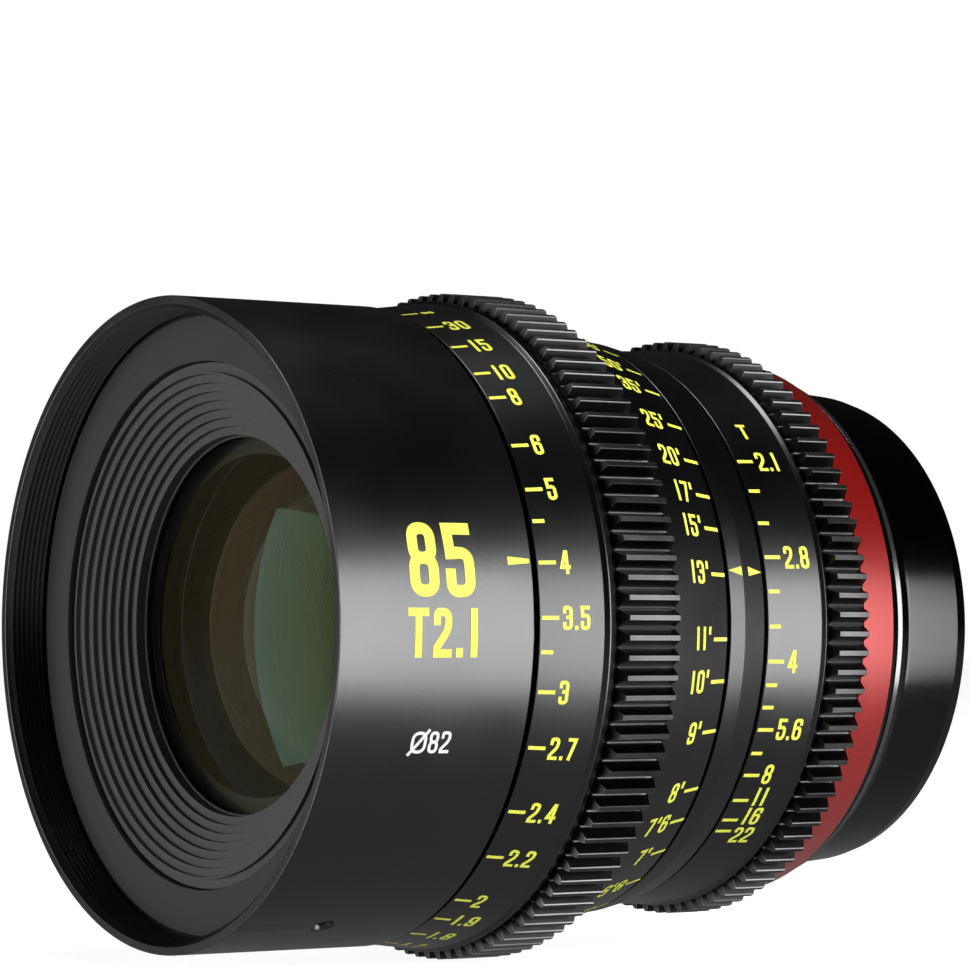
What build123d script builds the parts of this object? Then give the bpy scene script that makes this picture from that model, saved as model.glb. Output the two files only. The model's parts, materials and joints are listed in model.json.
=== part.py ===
from build123d import *

import os
from math import acos, asin, cos, degrees, hypot, pi, radians, sin, sqrt, tan

# A cinema prime lens for full-frame cameras, lying along Y: the front rim is at -Y, the mount face is
# at Y = 0, and +Z is up. The scales are read from the +X side. Angles around the axis are counted from
# +Z towards +X, so a mark at 90 degrees faces +X. All lengths are in millimetres.

os.makedirs("parts", exist_ok=True)

# Lengths along the axis, from the front rim back to the mount face
barrel_length = 29.0
focus_gap = 0.96
focus_scale_length = 9.3
focus_lip_length = 1.7
focus_relief_length = 0.7
focus_gear_face = 9.04
feet_scale_length = 11.04
index_gap = 0.7
index_ring_length = 6.55
iris_gap = 0.77
iris_scale_length = 8.87
iris_lip_length = 1.33
iris_relief_length = 0.24
iris_gear_face = 6.02
red_gap = 0.13
red_ring_length = 5.89
rear_barrel_length = 16.86
mount_setback = 0.9

# Walls and steps of the rings, each counted outward from the tube, the sleeve or the step before
sleeve_wall = 3.0
trim_seat_width = 4.75
thread_step = 0.7
front_wall = 1.5
focus_front_wall = 3.62
focus_scale_rise = 1.17
focus_lip_rise = 0.46
focus_lip_fall = 0.41
focus_gear_sink = 0.34
feet_front_sink = 0.4
feet_back_wall = 1.33
index_front_wall = 4.1
index_step_wall = 3.83
index_back_wall = 2.98
index_step_share = 0.4
iris_front_wall = 2.72
iris_scale_rise = 0.33
iris_lip_rise = 0.29
iris_lip_fall = 0.43
iris_gear_sink = 0.27
red_front_wall = 2.65
red_back_wall = 1.84

# The two gear rings that a follow-focus drives, both of 0.8 module
gear_module = 0.8
pressure_angle = 20.0
root_depth_share = 1.25
gear_end_bevel = 0.5
focus_gap_angle = 76.96
iris_gap_angle = 78.2

# The main tube, and the clearances that everything on it and in it keeps
tube_outer_radius = 35.5
tube_wall = 2.0
seat_fit = 0.05
running_fit = 0.06
axial_play = 0.1
edge_chamfer = 0.3

# The mouth of the front barrel: bevel, filter thread, trim ring and stepped light baffle
filter_thread_length = 5.2
mouth_bevel = 0.4
thread_relief_length = 0.2
thread_relief_depth = 0.3
trim_ring_thickness = 2.0
trim_bore_step = 0.8
baffle_step = 1.1
baffle_step_depth = 0.71
baffle_steps = 7
baffle_step_slope = 0.12
baffle_lip = 1.7
baffle_rim = 1.2
baffle_first_depth = 0.3

# Front cell and its two glass elements
cell_length = 14.0
glass_edge = 4.0
glass_setback = 0.6
front_glass_rim = 1.1
front_glass_bulge = 5.2
front_glass_hollow = 2.2
second_glass_step = 2.5
second_glass_bulge = 3.6
second_glass_hollow = 6.1
seat_lip = 2.5
cell_web = 3.0
retainer_lip = 2.3

# Focus: the ring turns a sleeve, whose keys draw the inner carrier along the axis
focus_throw_angle = 330.0
focus_from_far_angle = 64.5
focus_travel = 6.0
ring_front_wall = 2.0
ring_front_play = 0.35
sleeve_setback = 0.44
carrier_setback = 6.8
carrier_length = 24.0
carrier_seat_depth = 4.5
carrier_edge = 3.2
carrier_front_wall = 9.44
carrier_rear_step = 2.0
carrier_front_bulge = 3.2
carrier_front_hollow = 2.4
carrier_rear_hollow = 4.1
carrier_rear_bulge = 5.1
key_radius = 1.2
key_count = 3
key_place = 12.0
key_angle = 30.0
key_height = 3.1
key_seat = 3.0
key_end_room = 0.4
recess_room = 0.8
drive_screw_count = 3
drive_screw_radius = 0.7
drive_screw_head = 1.1
drive_screw_head_height = 0.8
drive_screw_length = 6.0
drive_screw_angle = 20.0

# Iris: eleven blades between a housing and a cam plate that the T-stop ring turns
blade_count = 11
iris_closing_angle = 80.2
iris_rest_angle = 24.23
iris_to_closed_angle = 55.96
blade_swing_angle = 33.4
pivot_inset = 5.6
window_inset = 9.0
leaf_overlap = 0.4
leaf_outer_inset = 1.0
leaf_root_inset = 4.0
leaf_angle = 104.0
pivot_radius = 0.4
pivot_boss = 1.3
drive_arm = 9.0
drive_open_inset = 0.1
drive_stud_radius = 0.35
drive_boss = 0.7
cam_slot_width = 1.1
blade_thickness = 0.15
blade_pitch = 0.25
cam_thickness = 1.3
cam_play = 0.1
cam_window_step = 0.2
housing_place = 4.84
housing_wall = 1.85
housing_floor = 1.2
keeper_thickness = 0.8
keeper_width = 1.5
drive_pin_radius = 0.5
drive_pin_past_slot_angle = 5.0
pin_slot_end_angle = 0.4
drive_pin_depth = 1.4
drive_pin_seat = 2.0
pin_room = 0.2

# Rear barrel, rear glass and the bayonet mount, counted outward from the spigot's bore
rear_band_length = 1.33
rear_band_front_wall = 1.4
rear_band_back_wall = 0.93
rear_groove_length = 0.36
rear_strip_length = 0.88
rear_strip_height = 0.35
cove_length = 3.4
cove_depth = 2.15
cove_hollow_share = 0.22
rear_cylinder_rise = 0.75
rear_taper_length = 1.85
rear_taper_rise = 0.5
mount_lip_wall = 1.35
mount_seat_width = 3.5
tube_socket = 0.96
flange_width = 4.2
flange_thickness = 2.5
spigot_bore = 22.5
spigot_wall = 2.9
spigot_length = 4.3
relief_width = 1.9
relief_depth = 0.6
lug_height = 1.5
lug_thickness = 1.4
lug_angles = (10.0, 130.0, 250.0)
lug_span_angles = (56.0, 50.0, 44.0)
mount_screw_count = 4
mount_screw_radius = 0.8
mount_screw_head = 1.5
mount_screw_length = 7.0
mount_screw_angle = 45.0
mount_head_height = 1.0
cross_length = 1.6
cross_width = 0.35
cross_depth = 0.5
head_sink = 0.08
lock_hole_radius = 1.1
lock_hole_depth = 1.8
lock_hole_angle = 100.0
index_dot_radius = 0.9
index_dot_depth = 0.7
index_dot_angle = -30.0
index_dot_place = 6.5
index_dot_sink = 0.4
rear_cell_flange = 2.0
rear_cell_room = 2.0
rear_cell_end = 4.0
rear_cell_wall = 6.0
rear_glass_edge = 3.0
rear_glass_front_bulge = 3.4
rear_glass_back_bulge = 2.2
rear_retainer_length = 2.0
inner_glass_step = 1.0
inner_glass_edge = 3.0
inner_glass_hollow = 2.3
inner_glass_bulge = 5.6
inner_glass_setback = 1.0
rear_baffle_thickness = 1.3
rear_baffle_width = 4.5
rear_baffle_setback = 0.2

# Small hardware and washers
grub_angles = (153.8, 333.8)
grub_place = 13.1
grub_radius = 1.2
grub_sink = 0.7
hex_radius = 0.7
hex_depth = 1.6
washer_play = 0.12
focus_washer_width = 4.0
iris_washer_width = 2.2
cut_over = 1.0

# Stations along the axis, all worked out from the lengths above
overall_length = (
    barrel_length
    + focus_gap
    + focus_scale_length
    + focus_lip_length
    + focus_relief_length
    + focus_gear_face
    + feet_scale_length
    + index_gap
    + index_ring_length
    + iris_gap
    + iris_scale_length
    + iris_lip_length
    + iris_relief_length
    + iris_gear_face
    + red_gap
    + red_ring_length
    + rear_barrel_length
    + mount_setback
)
y_rim = -overall_length
y_barrel_end = y_rim + barrel_length
y_focus = y_barrel_end + focus_gap
y_focus_lip = y_focus + focus_scale_length
y_focus_lip_end = y_focus_lip + focus_lip_length
y_focus_gear = y_focus_lip_end + focus_relief_length
y_feet = y_focus_gear + focus_gear_face
y_focus_end = y_feet + feet_scale_length
y_index = y_focus_end + index_gap
y_index_end = y_index + index_ring_length
y_iris = y_index_end + iris_gap
y_iris_lip = y_iris + iris_scale_length
y_iris_lip_end = y_iris_lip + iris_lip_length
y_iris_gear = y_iris_lip_end + iris_relief_length
y_iris_end = y_iris_gear + iris_gear_face
y_red = y_iris_end + red_gap
y_rear = y_red + red_ring_length
y_thread_end = y_rim + mouth_bevel + filter_thread_length
y_trim_ring = y_thread_end + thread_relief_length
y_shoulder = y_trim_ring + trim_ring_thickness
tube_bore = tube_outer_radius - tube_wall
on_tube = tube_outer_radius + seat_fit
turns_on_tube = tube_outer_radius + running_fit
in_tube = tube_bore - seat_fit
slides_in_tube = tube_bore - running_fit

# Radii, worked out from the tube outward and inward
trim_ring_radius = on_tube + trim_seat_width
filter_thread_radius = trim_ring_radius + thread_step
front_radius = filter_thread_radius + front_wall
grub_length = front_radius - grub_sink - on_tube
sleeve_outer_radius = tube_outer_radius + sleeve_wall
drive_screw_circle = (turns_on_tube + sleeve_outer_radius) / 2
ring_front_bore = on_tube + ring_front_play
focus_front_radius = sleeve_outer_radius + focus_front_wall
focus_scale_radius = focus_front_radius + focus_scale_rise
focus_lip_radius = focus_scale_radius + focus_lip_rise
focus_lip_back_radius = focus_lip_radius - focus_lip_fall
feet_back_radius = sleeve_outer_radius + feet_back_wall
index_front_radius = on_tube + index_front_wall
index_step_radius = on_tube + index_step_wall
index_back_radius = on_tube + index_back_wall
iris_front_radius = turns_on_tube + iris_front_wall
iris_scale_radius = iris_front_radius + iris_scale_rise
iris_lip_radius = iris_scale_radius + iris_lip_rise
iris_lip_back_radius = iris_lip_radius - iris_lip_fall
red_front_radius = on_tube + red_front_wall
red_back_radius = on_tube + red_back_wall
rear_band_front_radius = on_tube + rear_band_front_wall
rear_band_back_radius = on_tube + rear_band_back_wall
trim_ring_bore = tube_bore + trim_bore_step
baffle_first_radius = trim_ring_bore - baffle_rim
baffle_bore = baffle_first_radius - baffle_steps * baffle_step
front_glass_radius = baffle_bore + front_glass_rim
second_glass_radius = front_glass_radius - second_glass_step
carrier_front_radius = slides_in_tube - carrier_front_wall
carrier_rear_radius = carrier_front_radius - carrier_rear_step

# Radii of the iris, worked out from the housing's rim inward
rim_bore = in_tube - housing_wall
cam_outer_radius = rim_bore - cam_play
pivot_circle = rim_bore - pivot_inset
window_radius = pivot_circle - window_inset
cam_window = window_radius + cam_window_step
leaf_inner_radius = window_radius - leaf_overlap
leaf_outer_radius = pivot_circle - leaf_outer_inset
leaf_root_radius = pivot_circle - leaf_root_inset
drive_open_circle = pivot_circle - drive_open_inset

# Radii of the mount and the rear barrel, worked out from the spigot's bore outward
spigot_radius = spigot_bore + spigot_wall
lug_radius = spigot_radius + lug_height
relief_radius = spigot_radius + relief_width
flange_radius = relief_radius + flange_width
mount_screw_circle = (relief_radius + flange_radius) / 2
rear_end_radius = flange_radius + seat_fit + mount_lip_wall
rear_cylinder_back_radius = rear_end_radius + rear_taper_rise
cove_radius = rear_cylinder_back_radius + rear_cylinder_rise
rear_strip_radius = cove_radius + cove_depth
rear_groove_radius = rear_strip_radius - rear_strip_height
dot_seat_radius = rear_cylinder_back_radius - index_dot_sink
rear_bore = flange_radius - mount_seat_width
rear_cell_radius = rear_bore - rear_cell_room
rear_glass_radius = rear_cell_radius - rear_cell_wall
inner_glass_radius = rear_glass_radius - inner_glass_step
rear_cell_bore = rear_glass_radius - seat_lip
rear_baffle_bore = spigot_bore - rear_baffle_width


def half_plane(angle):
    """Plane through the axis: its own X runs out from the axis at an angle, its own Y is the axis."""
    x, z = around(1, angle)
    return Plane(origin=(0, 0, 0), x_dir=(x, 0, z), z_dir=(-z, 0, x))


def section(*points, plane=Plane.XY):
    """The face inside a closed half section. Each point is (radius, place along the axis)."""
    with BuildSketch(plane) as sketch:
        with BuildLine():
            Polyline(*points, close=True)
        make_face()
    return sketch.sketch.face()


def collar(inner, outer, front, back, plane=Plane.XY):
    """Half section of a plain ring."""
    return section((inner, front), (outer, front), (outer, back), (inner, back), plane=plane)


def cap(edge, y_edge, rise):
    """Three points of a spherical glass surface, from the axis to its clear edge. The axis point
    lies `rise` behind the edge, so a negative rise bulges to the front."""
    ball = (edge * edge + rise * rise) / (2 * abs(rise))
    middle = edge / 2
    fall = ball - sqrt(ball * ball - middle * middle)
    side = rise / abs(rise)
    return (0, y_edge + rise), (middle, y_edge + rise - side * fall), (edge, y_edge)


def glass_section(edge, front, back, front_rise, back_rise, rim):
    """Half section of a lens element: two spherical surfaces, a flat ground rim round each, and a
    ground edge."""
    front_cap = cap(edge - rim, front, front_rise)
    back_cap = cap(edge - rim, back, back_rise)
    with BuildSketch(Plane.XY) as sketch:
        with BuildLine():
            ThreePointArc(*front_cap)
            Polyline(front_cap[-1], (edge, front), (edge, back), back_cap[-1])
            ThreePointArc(*back_cap)
            Line(back_cap[0], front_cap[0])
        make_face()
    return sketch.sketch.face()


def across(y):
    """Plane square to the axis at y, facing the front, with X to its right and Z up."""
    return Plane.XZ.offset(-y)


def around(radius, angle):
    """Point on a plane square to the axis, at an angle counted from +Z towards +X."""
    return (radius * sin(radians(angle)), radius * cos(radians(angle)))


def outward(angle, y, radius=0):
    """Plane that faces straight out from the axis at an angle, with its own X along the axis."""
    x, z = around(1, angle)
    return Plane(origin=(radius * x, y, radius * z), x_dir=(0, 1, 0), z_dir=(x, 0, z))


def turned_point(point, angle, centre=(0, 0)):
    """A point of a plane square to the axis, turned about a centre from +Z towards +X."""
    c = cos(radians(angle))
    s = sin(radians(angle))
    x = point[0] - centre[0]
    z = point[1] - centre[1]
    return (centre[0] + x * c + z * s, centre[1] + z * c - x * s)


def gear_points(teeth, gap_angle):
    """Outline of a spur gear with straight flanks: for each tooth two root and two tip corners."""
    pitch_radius = gear_module * teeth / 2
    tip_radius = pitch_radius + gear_module
    root_radius = pitch_radius - gear_module * root_depth_share
    slope = tan(radians(pressure_angle))
    half_pitch_tooth = pi * gear_module / 4
    half_root = half_pitch_tooth + (pitch_radius - root_radius) * slope
    half_tip = half_pitch_tooth - (tip_radius - pitch_radius) * slope
    root_turn = degrees(asin(half_root / root_radius))
    tip_turn = degrees(asin(half_tip / tip_radius))
    points = []
    for tooth in range(teeth):
        middle = gap_angle + (tooth + 1 / 2) * 360 / teeth
        points.append(around(root_radius, middle - root_turn))
        points.append(around(tip_radius, middle - tip_turn))
        points.append(around(tip_radius, middle + tip_turn))
        points.append(around(root_radius, middle + root_turn))
    return points


def teeth_on(root_radius):
    """Number of teeth whose root circle comes nearest to a radius."""
    return round((root_radius / gear_module + root_depth_share) * 2)


def gear_tip(teeth):
    return gear_module * (teeth / 2 + 1)


def gear_root(teeth):
    return gear_module * (teeth / 2 - root_depth_share)


focus_teeth = teeth_on(focus_lip_back_radius - focus_gear_sink)
iris_teeth = teeth_on(iris_lip_back_radius - iris_gear_sink)
feet_front_radius = gear_root(focus_teeth) - feet_front_sink


def write(piece, name):
    """Label a finished piece and write its STEP file."""
    piece.part.label = name
    export_step(piece.part, f"parts/{name}.step")


# Front barrel: the fixed sleeve that carries the filter thread
with BuildPart() as front_barrel:
    revolve(
        section(
            (filter_thread_radius + mouth_bevel, y_rim),
            (front_radius - edge_chamfer, y_rim),
            (front_radius, y_rim + edge_chamfer),
            (front_radius, y_barrel_end - edge_chamfer),
            (front_radius - edge_chamfer, y_barrel_end),
            (on_tube, y_barrel_end),
            (on_tube, y_shoulder),
            (trim_ring_radius, y_shoulder),
            (trim_ring_radius, y_trim_ring),
            (filter_thread_radius + thread_relief_depth, y_trim_ring),
            (filter_thread_radius + thread_relief_depth, y_thread_end),
            (filter_thread_radius, y_thread_end),
            (filter_thread_radius, y_rim + mouth_bevel),
        ),
        axis=Axis.Y,
    )
    for angle in grub_angles:
        with BuildSketch(outward(angle, y_rim + grub_place, front_radius + cut_over)):
            Circle(grub_radius + seat_fit)
        extrude(amount=-(front_radius - on_tube + cut_over * 2), mode=Mode.SUBTRACT)
write(front_barrel, "front_barrel")

# Two grub screws that lock the front barrel on the main tube, each with a hexagon socket
with BuildPart() as grub_screws:
    for angle in grub_angles:
        with BuildSketch(outward(angle, y_rim + grub_place, front_radius - grub_sink)):
            Circle(grub_radius)
        extrude(amount=-grub_length)
        with BuildSketch(outward(angle, y_rim + grub_place, front_radius - grub_sink)):
            RegularPolygon(radius=hex_radius, side_count=6)
        extrude(amount=-hex_depth, mode=Mode.SUBTRACT)
write(grub_screws, "grub_screws")

# Trim ring: the flat matt annulus behind the filter thread
with BuildPart() as front_ring:
    revolve(
        collar(trim_ring_bore, trim_ring_radius - seat_fit, y_trim_ring, y_shoulder),
        axis=Axis.Y,
    )
write(front_ring, "front_ring")

# Stepped light baffle: a funnel of narrow steps from the trim ring down to the front glass
y_tube = y_shoulder + axial_play
y_baffle = y_trim_ring + baffle_first_depth
y_baffle_end = y_baffle + baffle_steps * baffle_step_depth + baffle_lip
steps = []
for step in range(baffle_steps + 1):
    step_radius = baffle_first_radius - step * baffle_step
    step_y = y_baffle + step * baffle_step_depth
    steps.append((step_radius + baffle_step_slope, step_y))
    if step < baffle_steps:
        steps.append((step_radius, step_y + baffle_step_depth))
with BuildPart() as front_baffle:
    revolve(
        section(
            (trim_ring_bore - seat_fit, y_baffle),
            *steps,
            (baffle_bore, y_baffle_end),
            (in_tube, y_baffle_end),
            (in_tube, y_tube),
            (trim_ring_bore - seat_fit, y_tube),
        ),
        axis=Axis.Y,
    )
write(front_baffle, "front_baffle")

# Front cell, its two elements and the ring that holds the second one
y_cell = y_baffle_end
y_cell_end = y_cell + cell_length
y_glass = y_cell + glass_setback
y_first_seat = y_glass + glass_edge
y_second_seat = y_first_seat + cell_web
y_second_end = y_second_seat + glass_edge
second_seat_radius = second_glass_radius + seat_fit
with BuildPart() as front_cell:
    revolve(
        section(
            (front_glass_radius + seat_fit, y_cell),
            (in_tube, y_cell),
            (in_tube, y_cell_end),
            (second_seat_radius, y_cell_end),
            (second_seat_radius, y_second_seat),
            (second_glass_radius - seat_lip, y_second_seat),
            (second_glass_radius - seat_lip, y_first_seat),
            (front_glass_radius + seat_fit, y_first_seat),
        ),
        axis=Axis.Y,
    )
write(front_cell, "front_cell")

with BuildPart() as front_element:
    revolve(
        glass_section(
            front_glass_radius,
            y_glass,
            y_first_seat,
            -front_glass_bulge,
            -front_glass_hollow,
            front_glass_radius - baffle_bore,
        ),
        axis=Axis.Y,
    )
write(front_element, "front_element")

with BuildPart() as second_element:
    revolve(
        glass_section(
            second_glass_radius,
            y_second_seat,
            y_second_end,
            -second_glass_bulge,
            -second_glass_hollow,
            seat_lip,
        ),
        axis=Axis.Y,
    )
write(second_element, "second_element")

with BuildPart() as front_cell_retainer:
    revolve(
        collar(second_glass_radius - retainer_lip, second_glass_radius, y_second_end, y_cell_end),
        axis=Axis.Y,
    )
write(front_cell_retainer, "front_cell_retainer")

# Focus mechanism: the far stop lies behind the rest place and the near stop in front of it
travel_back = focus_travel * focus_from_far_angle / focus_throw_angle
travel_front = focus_travel - travel_back
y_carrier = y_cell_end + carrier_setback
y_carrier_end = y_carrier + carrier_length
y_key = y_carrier + key_place
y_key_front = y_key - travel_front
y_key_back = y_key + travel_back
key_angles = [key_angle + turn * 360 / key_count for turn in range(key_count)]
key_top = slides_in_tube + key_height
recess_radius = key_top + axial_play

# Iris stations
y_housing = y_iris + housing_place
y_keeper_end = y_housing + keeper_thickness
y_cam = y_keeper_end + axial_play
y_cam_end = y_cam + cam_thickness
y_blades = y_cam_end + axial_play
y_floor = y_blades + blade_count * blade_pitch
y_housing_end = y_floor + housing_floor
y_drive_pin = (y_cam + y_cam_end) / 2

# Cam track: where the drive stud of the first blade lies on the cam plate at rest, when the iris is
# wide open, half closed and closed
blade_ratio = blade_swing_angle / iris_closing_angle
blade_step = 360 / blade_count
pivot = around(pivot_circle, 0)
arm_turn = degrees(
    acos((pivot_circle**2 + drive_open_circle**2 - drive_arm**2) / (2 * pivot_circle * drive_open_circle))
)
stud_open = around(drive_open_circle, -arm_turn)
cam_track = []
for closing in (0, iris_closing_angle / 2, iris_closing_angle):
    stud = turned_point(stud_open, blade_ratio * closing, pivot)
    cam_track.append(turned_point(stud, closing - iris_rest_angle))
track_end_angle = degrees(asin(cam_track[-1][0] / hypot(*cam_track[-1])))
drive_pin_angle = track_end_angle + drive_pin_past_slot_angle
pin_slot_half = degrees(asin((drive_pin_radius + pin_room) / tube_bore)) + pin_slot_end_angle

# Main tube: the fixed core, with straight slots for the focus keys and one across for the iris pin
tube_end = y_rear + tube_socket
slot_start = drive_pin_angle - iris_to_closed_angle - pin_slot_half
slot_turn = iris_closing_angle + pin_slot_half * 2
pin_slot_front = y_drive_pin - drive_pin_radius - pin_room
pin_slot_back = y_drive_pin + drive_pin_radius + pin_room
with BuildPart() as main_tube:
    revolve(collar(tube_bore, tube_outer_radius, y_tube, tube_end), axis=Axis.Y)
    slot_length = y_key_back - y_key_front + key_end_room * 2
    for angle in key_angles:
        with BuildSketch(outward(angle, (y_key_front + y_key_back) / 2)):
            SlotCenterToCenter(slot_length, (key_radius + running_fit) * 2)
        extrude(amount=tube_outer_radius + cut_over, mode=Mode.SUBTRACT)
    revolve(
        collar(
            tube_bore - cut_over,
            tube_outer_radius + cut_over,
            pin_slot_front,
            pin_slot_back,
            plane=half_plane(slot_start),
        ),
        axis=Axis.Y,
        revolution_arc=slot_turn,
        mode=Mode.SUBTRACT,
    )
write(main_tube, "main_tube")

# Focus ring: distance scale in metres, geared grip and distance scale in feet on one turned ring
sleeve_front = y_focus + ring_front_wall
sleeve_end = y_focus_end - sleeve_setback
drive_screw_angles = [drive_screw_angle + turn * 360 / drive_screw_count for turn in range(drive_screw_count)]


def gear_blank(teeth, front, back):
    """Half section that bevels both ends of a gear ring: the teeth are cut to it."""
    root = gear_root(teeth)
    tip = gear_tip(teeth)
    return section(
        (root - cut_over, front),
        (root, front),
        (tip + cut_over / 2, front + gear_end_bevel * (tip + cut_over / 2 - root) / (tip - root)),
        (tip + cut_over / 2, back - gear_end_bevel * (tip + cut_over / 2 - root) / (tip - root)),
        (root, back),
        (root - cut_over, back),
    )


with BuildPart() as focus_ring:
    with BuildSketch(across(y_focus_gear)):
        Polygon(*gear_points(focus_teeth, focus_gap_angle), align=None)
    extrude(amount=-focus_gear_face)
    revolve(gear_blank(focus_teeth, y_focus_gear, y_feet), axis=Axis.Y, mode=Mode.INTERSECT)
    revolve(
        section(
            (ring_front_bore, y_focus),
            (focus_front_radius, y_focus),
            (focus_scale_radius, y_focus_lip),
            (focus_lip_radius, y_focus_lip + edge_chamfer * 2),
            (focus_lip_back_radius, y_focus_lip_end),
            (gear_root(focus_teeth), y_focus_gear),
            (gear_root(focus_teeth), y_feet),
            (feet_front_radius, y_feet + edge_chamfer),
            (feet_back_radius, y_focus_end),
            (sleeve_outer_radius + seat_fit, y_focus_end),
            (sleeve_outer_radius + seat_fit, sleeve_front),
            (ring_front_bore, sleeve_front),
        ),
        axis=Axis.Y,
    )
    for angle in drive_screw_angles:
        with BuildSketch(across(y_focus)):
            with Locations(around(drive_screw_circle, angle)):
                Circle(drive_screw_head + seat_fit)
        extrude(amount=-drive_screw_head_height, mode=Mode.SUBTRACT)
        with BuildSketch(across(y_focus)):
            with Locations(around(drive_screw_circle, angle)):
                Circle(drive_screw_radius + seat_fit)
        extrude(amount=-drive_screw_length, mode=Mode.SUBTRACT)
write(focus_ring, "focus_ring")

# Focus sleeve: runs on the main tube inside the ring, with a wide recess for the guide keys
with BuildPart() as focus_sleeve:
    revolve(
        section(
            (turns_on_tube, sleeve_front),
            (sleeve_outer_radius, sleeve_front),
            (sleeve_outer_radius, sleeve_end),
            (turns_on_tube, sleeve_end),
            (turns_on_tube, y_key_back + key_radius + recess_room),
            (recess_radius, y_key_back + key_radius + recess_room),
            (recess_radius, y_key_front - key_radius - recess_room),
            (turns_on_tube, y_key_front - key_radius - recess_room),
        ),
        axis=Axis.Y,
    )
    for angle in drive_screw_angles:
        with BuildSketch(across(sleeve_front)):
            with Locations(around(drive_screw_circle, angle)):
                Circle(drive_screw_radius + seat_fit)
        extrude(amount=-(drive_screw_length - ring_front_wall + axial_play), mode=Mode.SUBTRACT)
write(focus_sleeve, "focus_sleeve")

# Three screws that clamp the focus ring to its sleeve
with BuildPart() as focus_ring_screws:
    for angle in drive_screw_angles:
        with BuildSketch(across(y_focus)):
            with Locations(around(drive_screw_circle, angle)):
                Circle(drive_screw_head)
        extrude(amount=-drive_screw_head_height)
        with BuildSketch(across(y_focus)):
            with Locations(around(drive_screw_circle, angle)):
                Circle(drive_screw_radius)
        extrude(amount=-drive_screw_length)
write(focus_ring_screws, "focus_ring_screws")

# Focus carrier: the inner cell that slides in the main tube
front_seat_radius = carrier_front_radius + seat_fit
rear_seat_radius = carrier_rear_radius + seat_fit
with BuildPart() as focus_carrier:
    revolve(
        section(
            (front_seat_radius, y_carrier),
            (slides_in_tube, y_carrier),
            (slides_in_tube, y_carrier_end),
            (rear_seat_radius, y_carrier_end),
            (rear_seat_radius, y_carrier_end - carrier_seat_depth),
            (carrier_rear_radius - seat_lip, y_carrier_end - carrier_seat_depth),
            (carrier_rear_radius - seat_lip, y_carrier + carrier_seat_depth),
            (front_seat_radius, y_carrier + carrier_seat_depth),
        ),
        axis=Axis.Y,
    )
    for angle in key_angles:
        with BuildSketch(outward(angle, y_key, slides_in_tube - key_seat)):
            Circle(key_radius + seat_fit)
        extrude(amount=key_seat + cut_over, mode=Mode.SUBTRACT)
write(focus_carrier, "focus_carrier")

# Three round guide keys, fixed in the carrier, that reach through the tube's slots to the sleeve
with BuildPart() as guide_keys:
    for angle in key_angles:
        with BuildSketch(outward(angle, y_key, slides_in_tube - key_seat)):
            Circle(key_radius)
        extrude(amount=key_seat + key_height)
write(guide_keys, "guide_keys")

y_carrier_front_glass = y_carrier + carrier_seat_depth - carrier_edge
with BuildPart() as carrier_front_element:
    revolve(
        glass_section(
            carrier_front_radius,
            y_carrier_front_glass,
            y_carrier + carrier_seat_depth,
            -carrier_front_bulge,
            -carrier_front_hollow,
            seat_lip,
        ),
        axis=Axis.Y,
    )
write(carrier_front_element, "carrier_front_element")

y_carrier_rear_glass = y_carrier_end - carrier_seat_depth
with BuildPart() as carrier_rear_element:
    revolve(
        glass_section(
            carrier_rear_radius,
            y_carrier_rear_glass,
            y_carrier_rear_glass + carrier_edge,
            carrier_rear_hollow,
            carrier_rear_bulge,
            seat_lip,
        ),
        axis=Axis.Y,
    )
write(carrier_rear_element, "carrier_rear_element")

with BuildPart() as carrier_front_retainer:
    revolve(
        collar(
            carrier_front_radius - retainer_lip, carrier_front_radius, y_carrier, y_carrier_front_glass
        ),
        axis=Axis.Y,
    )
write(carrier_front_retainer, "carrier_front_retainer")

with BuildPart() as carrier_rear_retainer:
    revolve(
        collar(
            carrier_rear_radius - retainer_lip,
            carrier_rear_radius,
            y_carrier_rear_glass + carrier_edge,
            y_carrier_end,
        ),
        axis=Axis.Y,
    )
write(carrier_rear_retainer, "carrier_rear_retainer")

# Index ring: the fixed ring between the two moving ones, which bears both index marks
with BuildPart() as index_ring:
    revolve(
        section(
            (on_tube, y_index),
            (index_front_radius, y_index),
            (index_step_radius, y_index + index_ring_length * index_step_share),
            (index_back_radius, y_index_end),
            (on_tube, y_index_end),
        ),
        axis=Axis.Y,
    )
write(index_ring, "index_ring")

# Friction washers that the moving rings bear against
with BuildPart() as focus_front_washer:
    revolve(
        collar(
            on_tube,
            on_tube + focus_washer_width,
            y_barrel_end,
            y_focus - washer_play,
        ),
        axis=Axis.Y,
    )
write(focus_front_washer, "focus_front_washer")

with BuildPart() as focus_rear_washer:
    revolve(
        collar(
            on_tube,
            on_tube + iris_washer_width,
            y_focus_end + washer_play,
            y_index,
        ),
        axis=Axis.Y,
    )
write(focus_rear_washer, "focus_rear_washer")

with BuildPart() as iris_washer:
    revolve(
        collar(
            on_tube,
            on_tube + iris_washer_width,
            y_index_end,
            y_iris - washer_play,
        ),
        axis=Axis.Y,
    )
write(iris_washer, "iris_washer")

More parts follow.
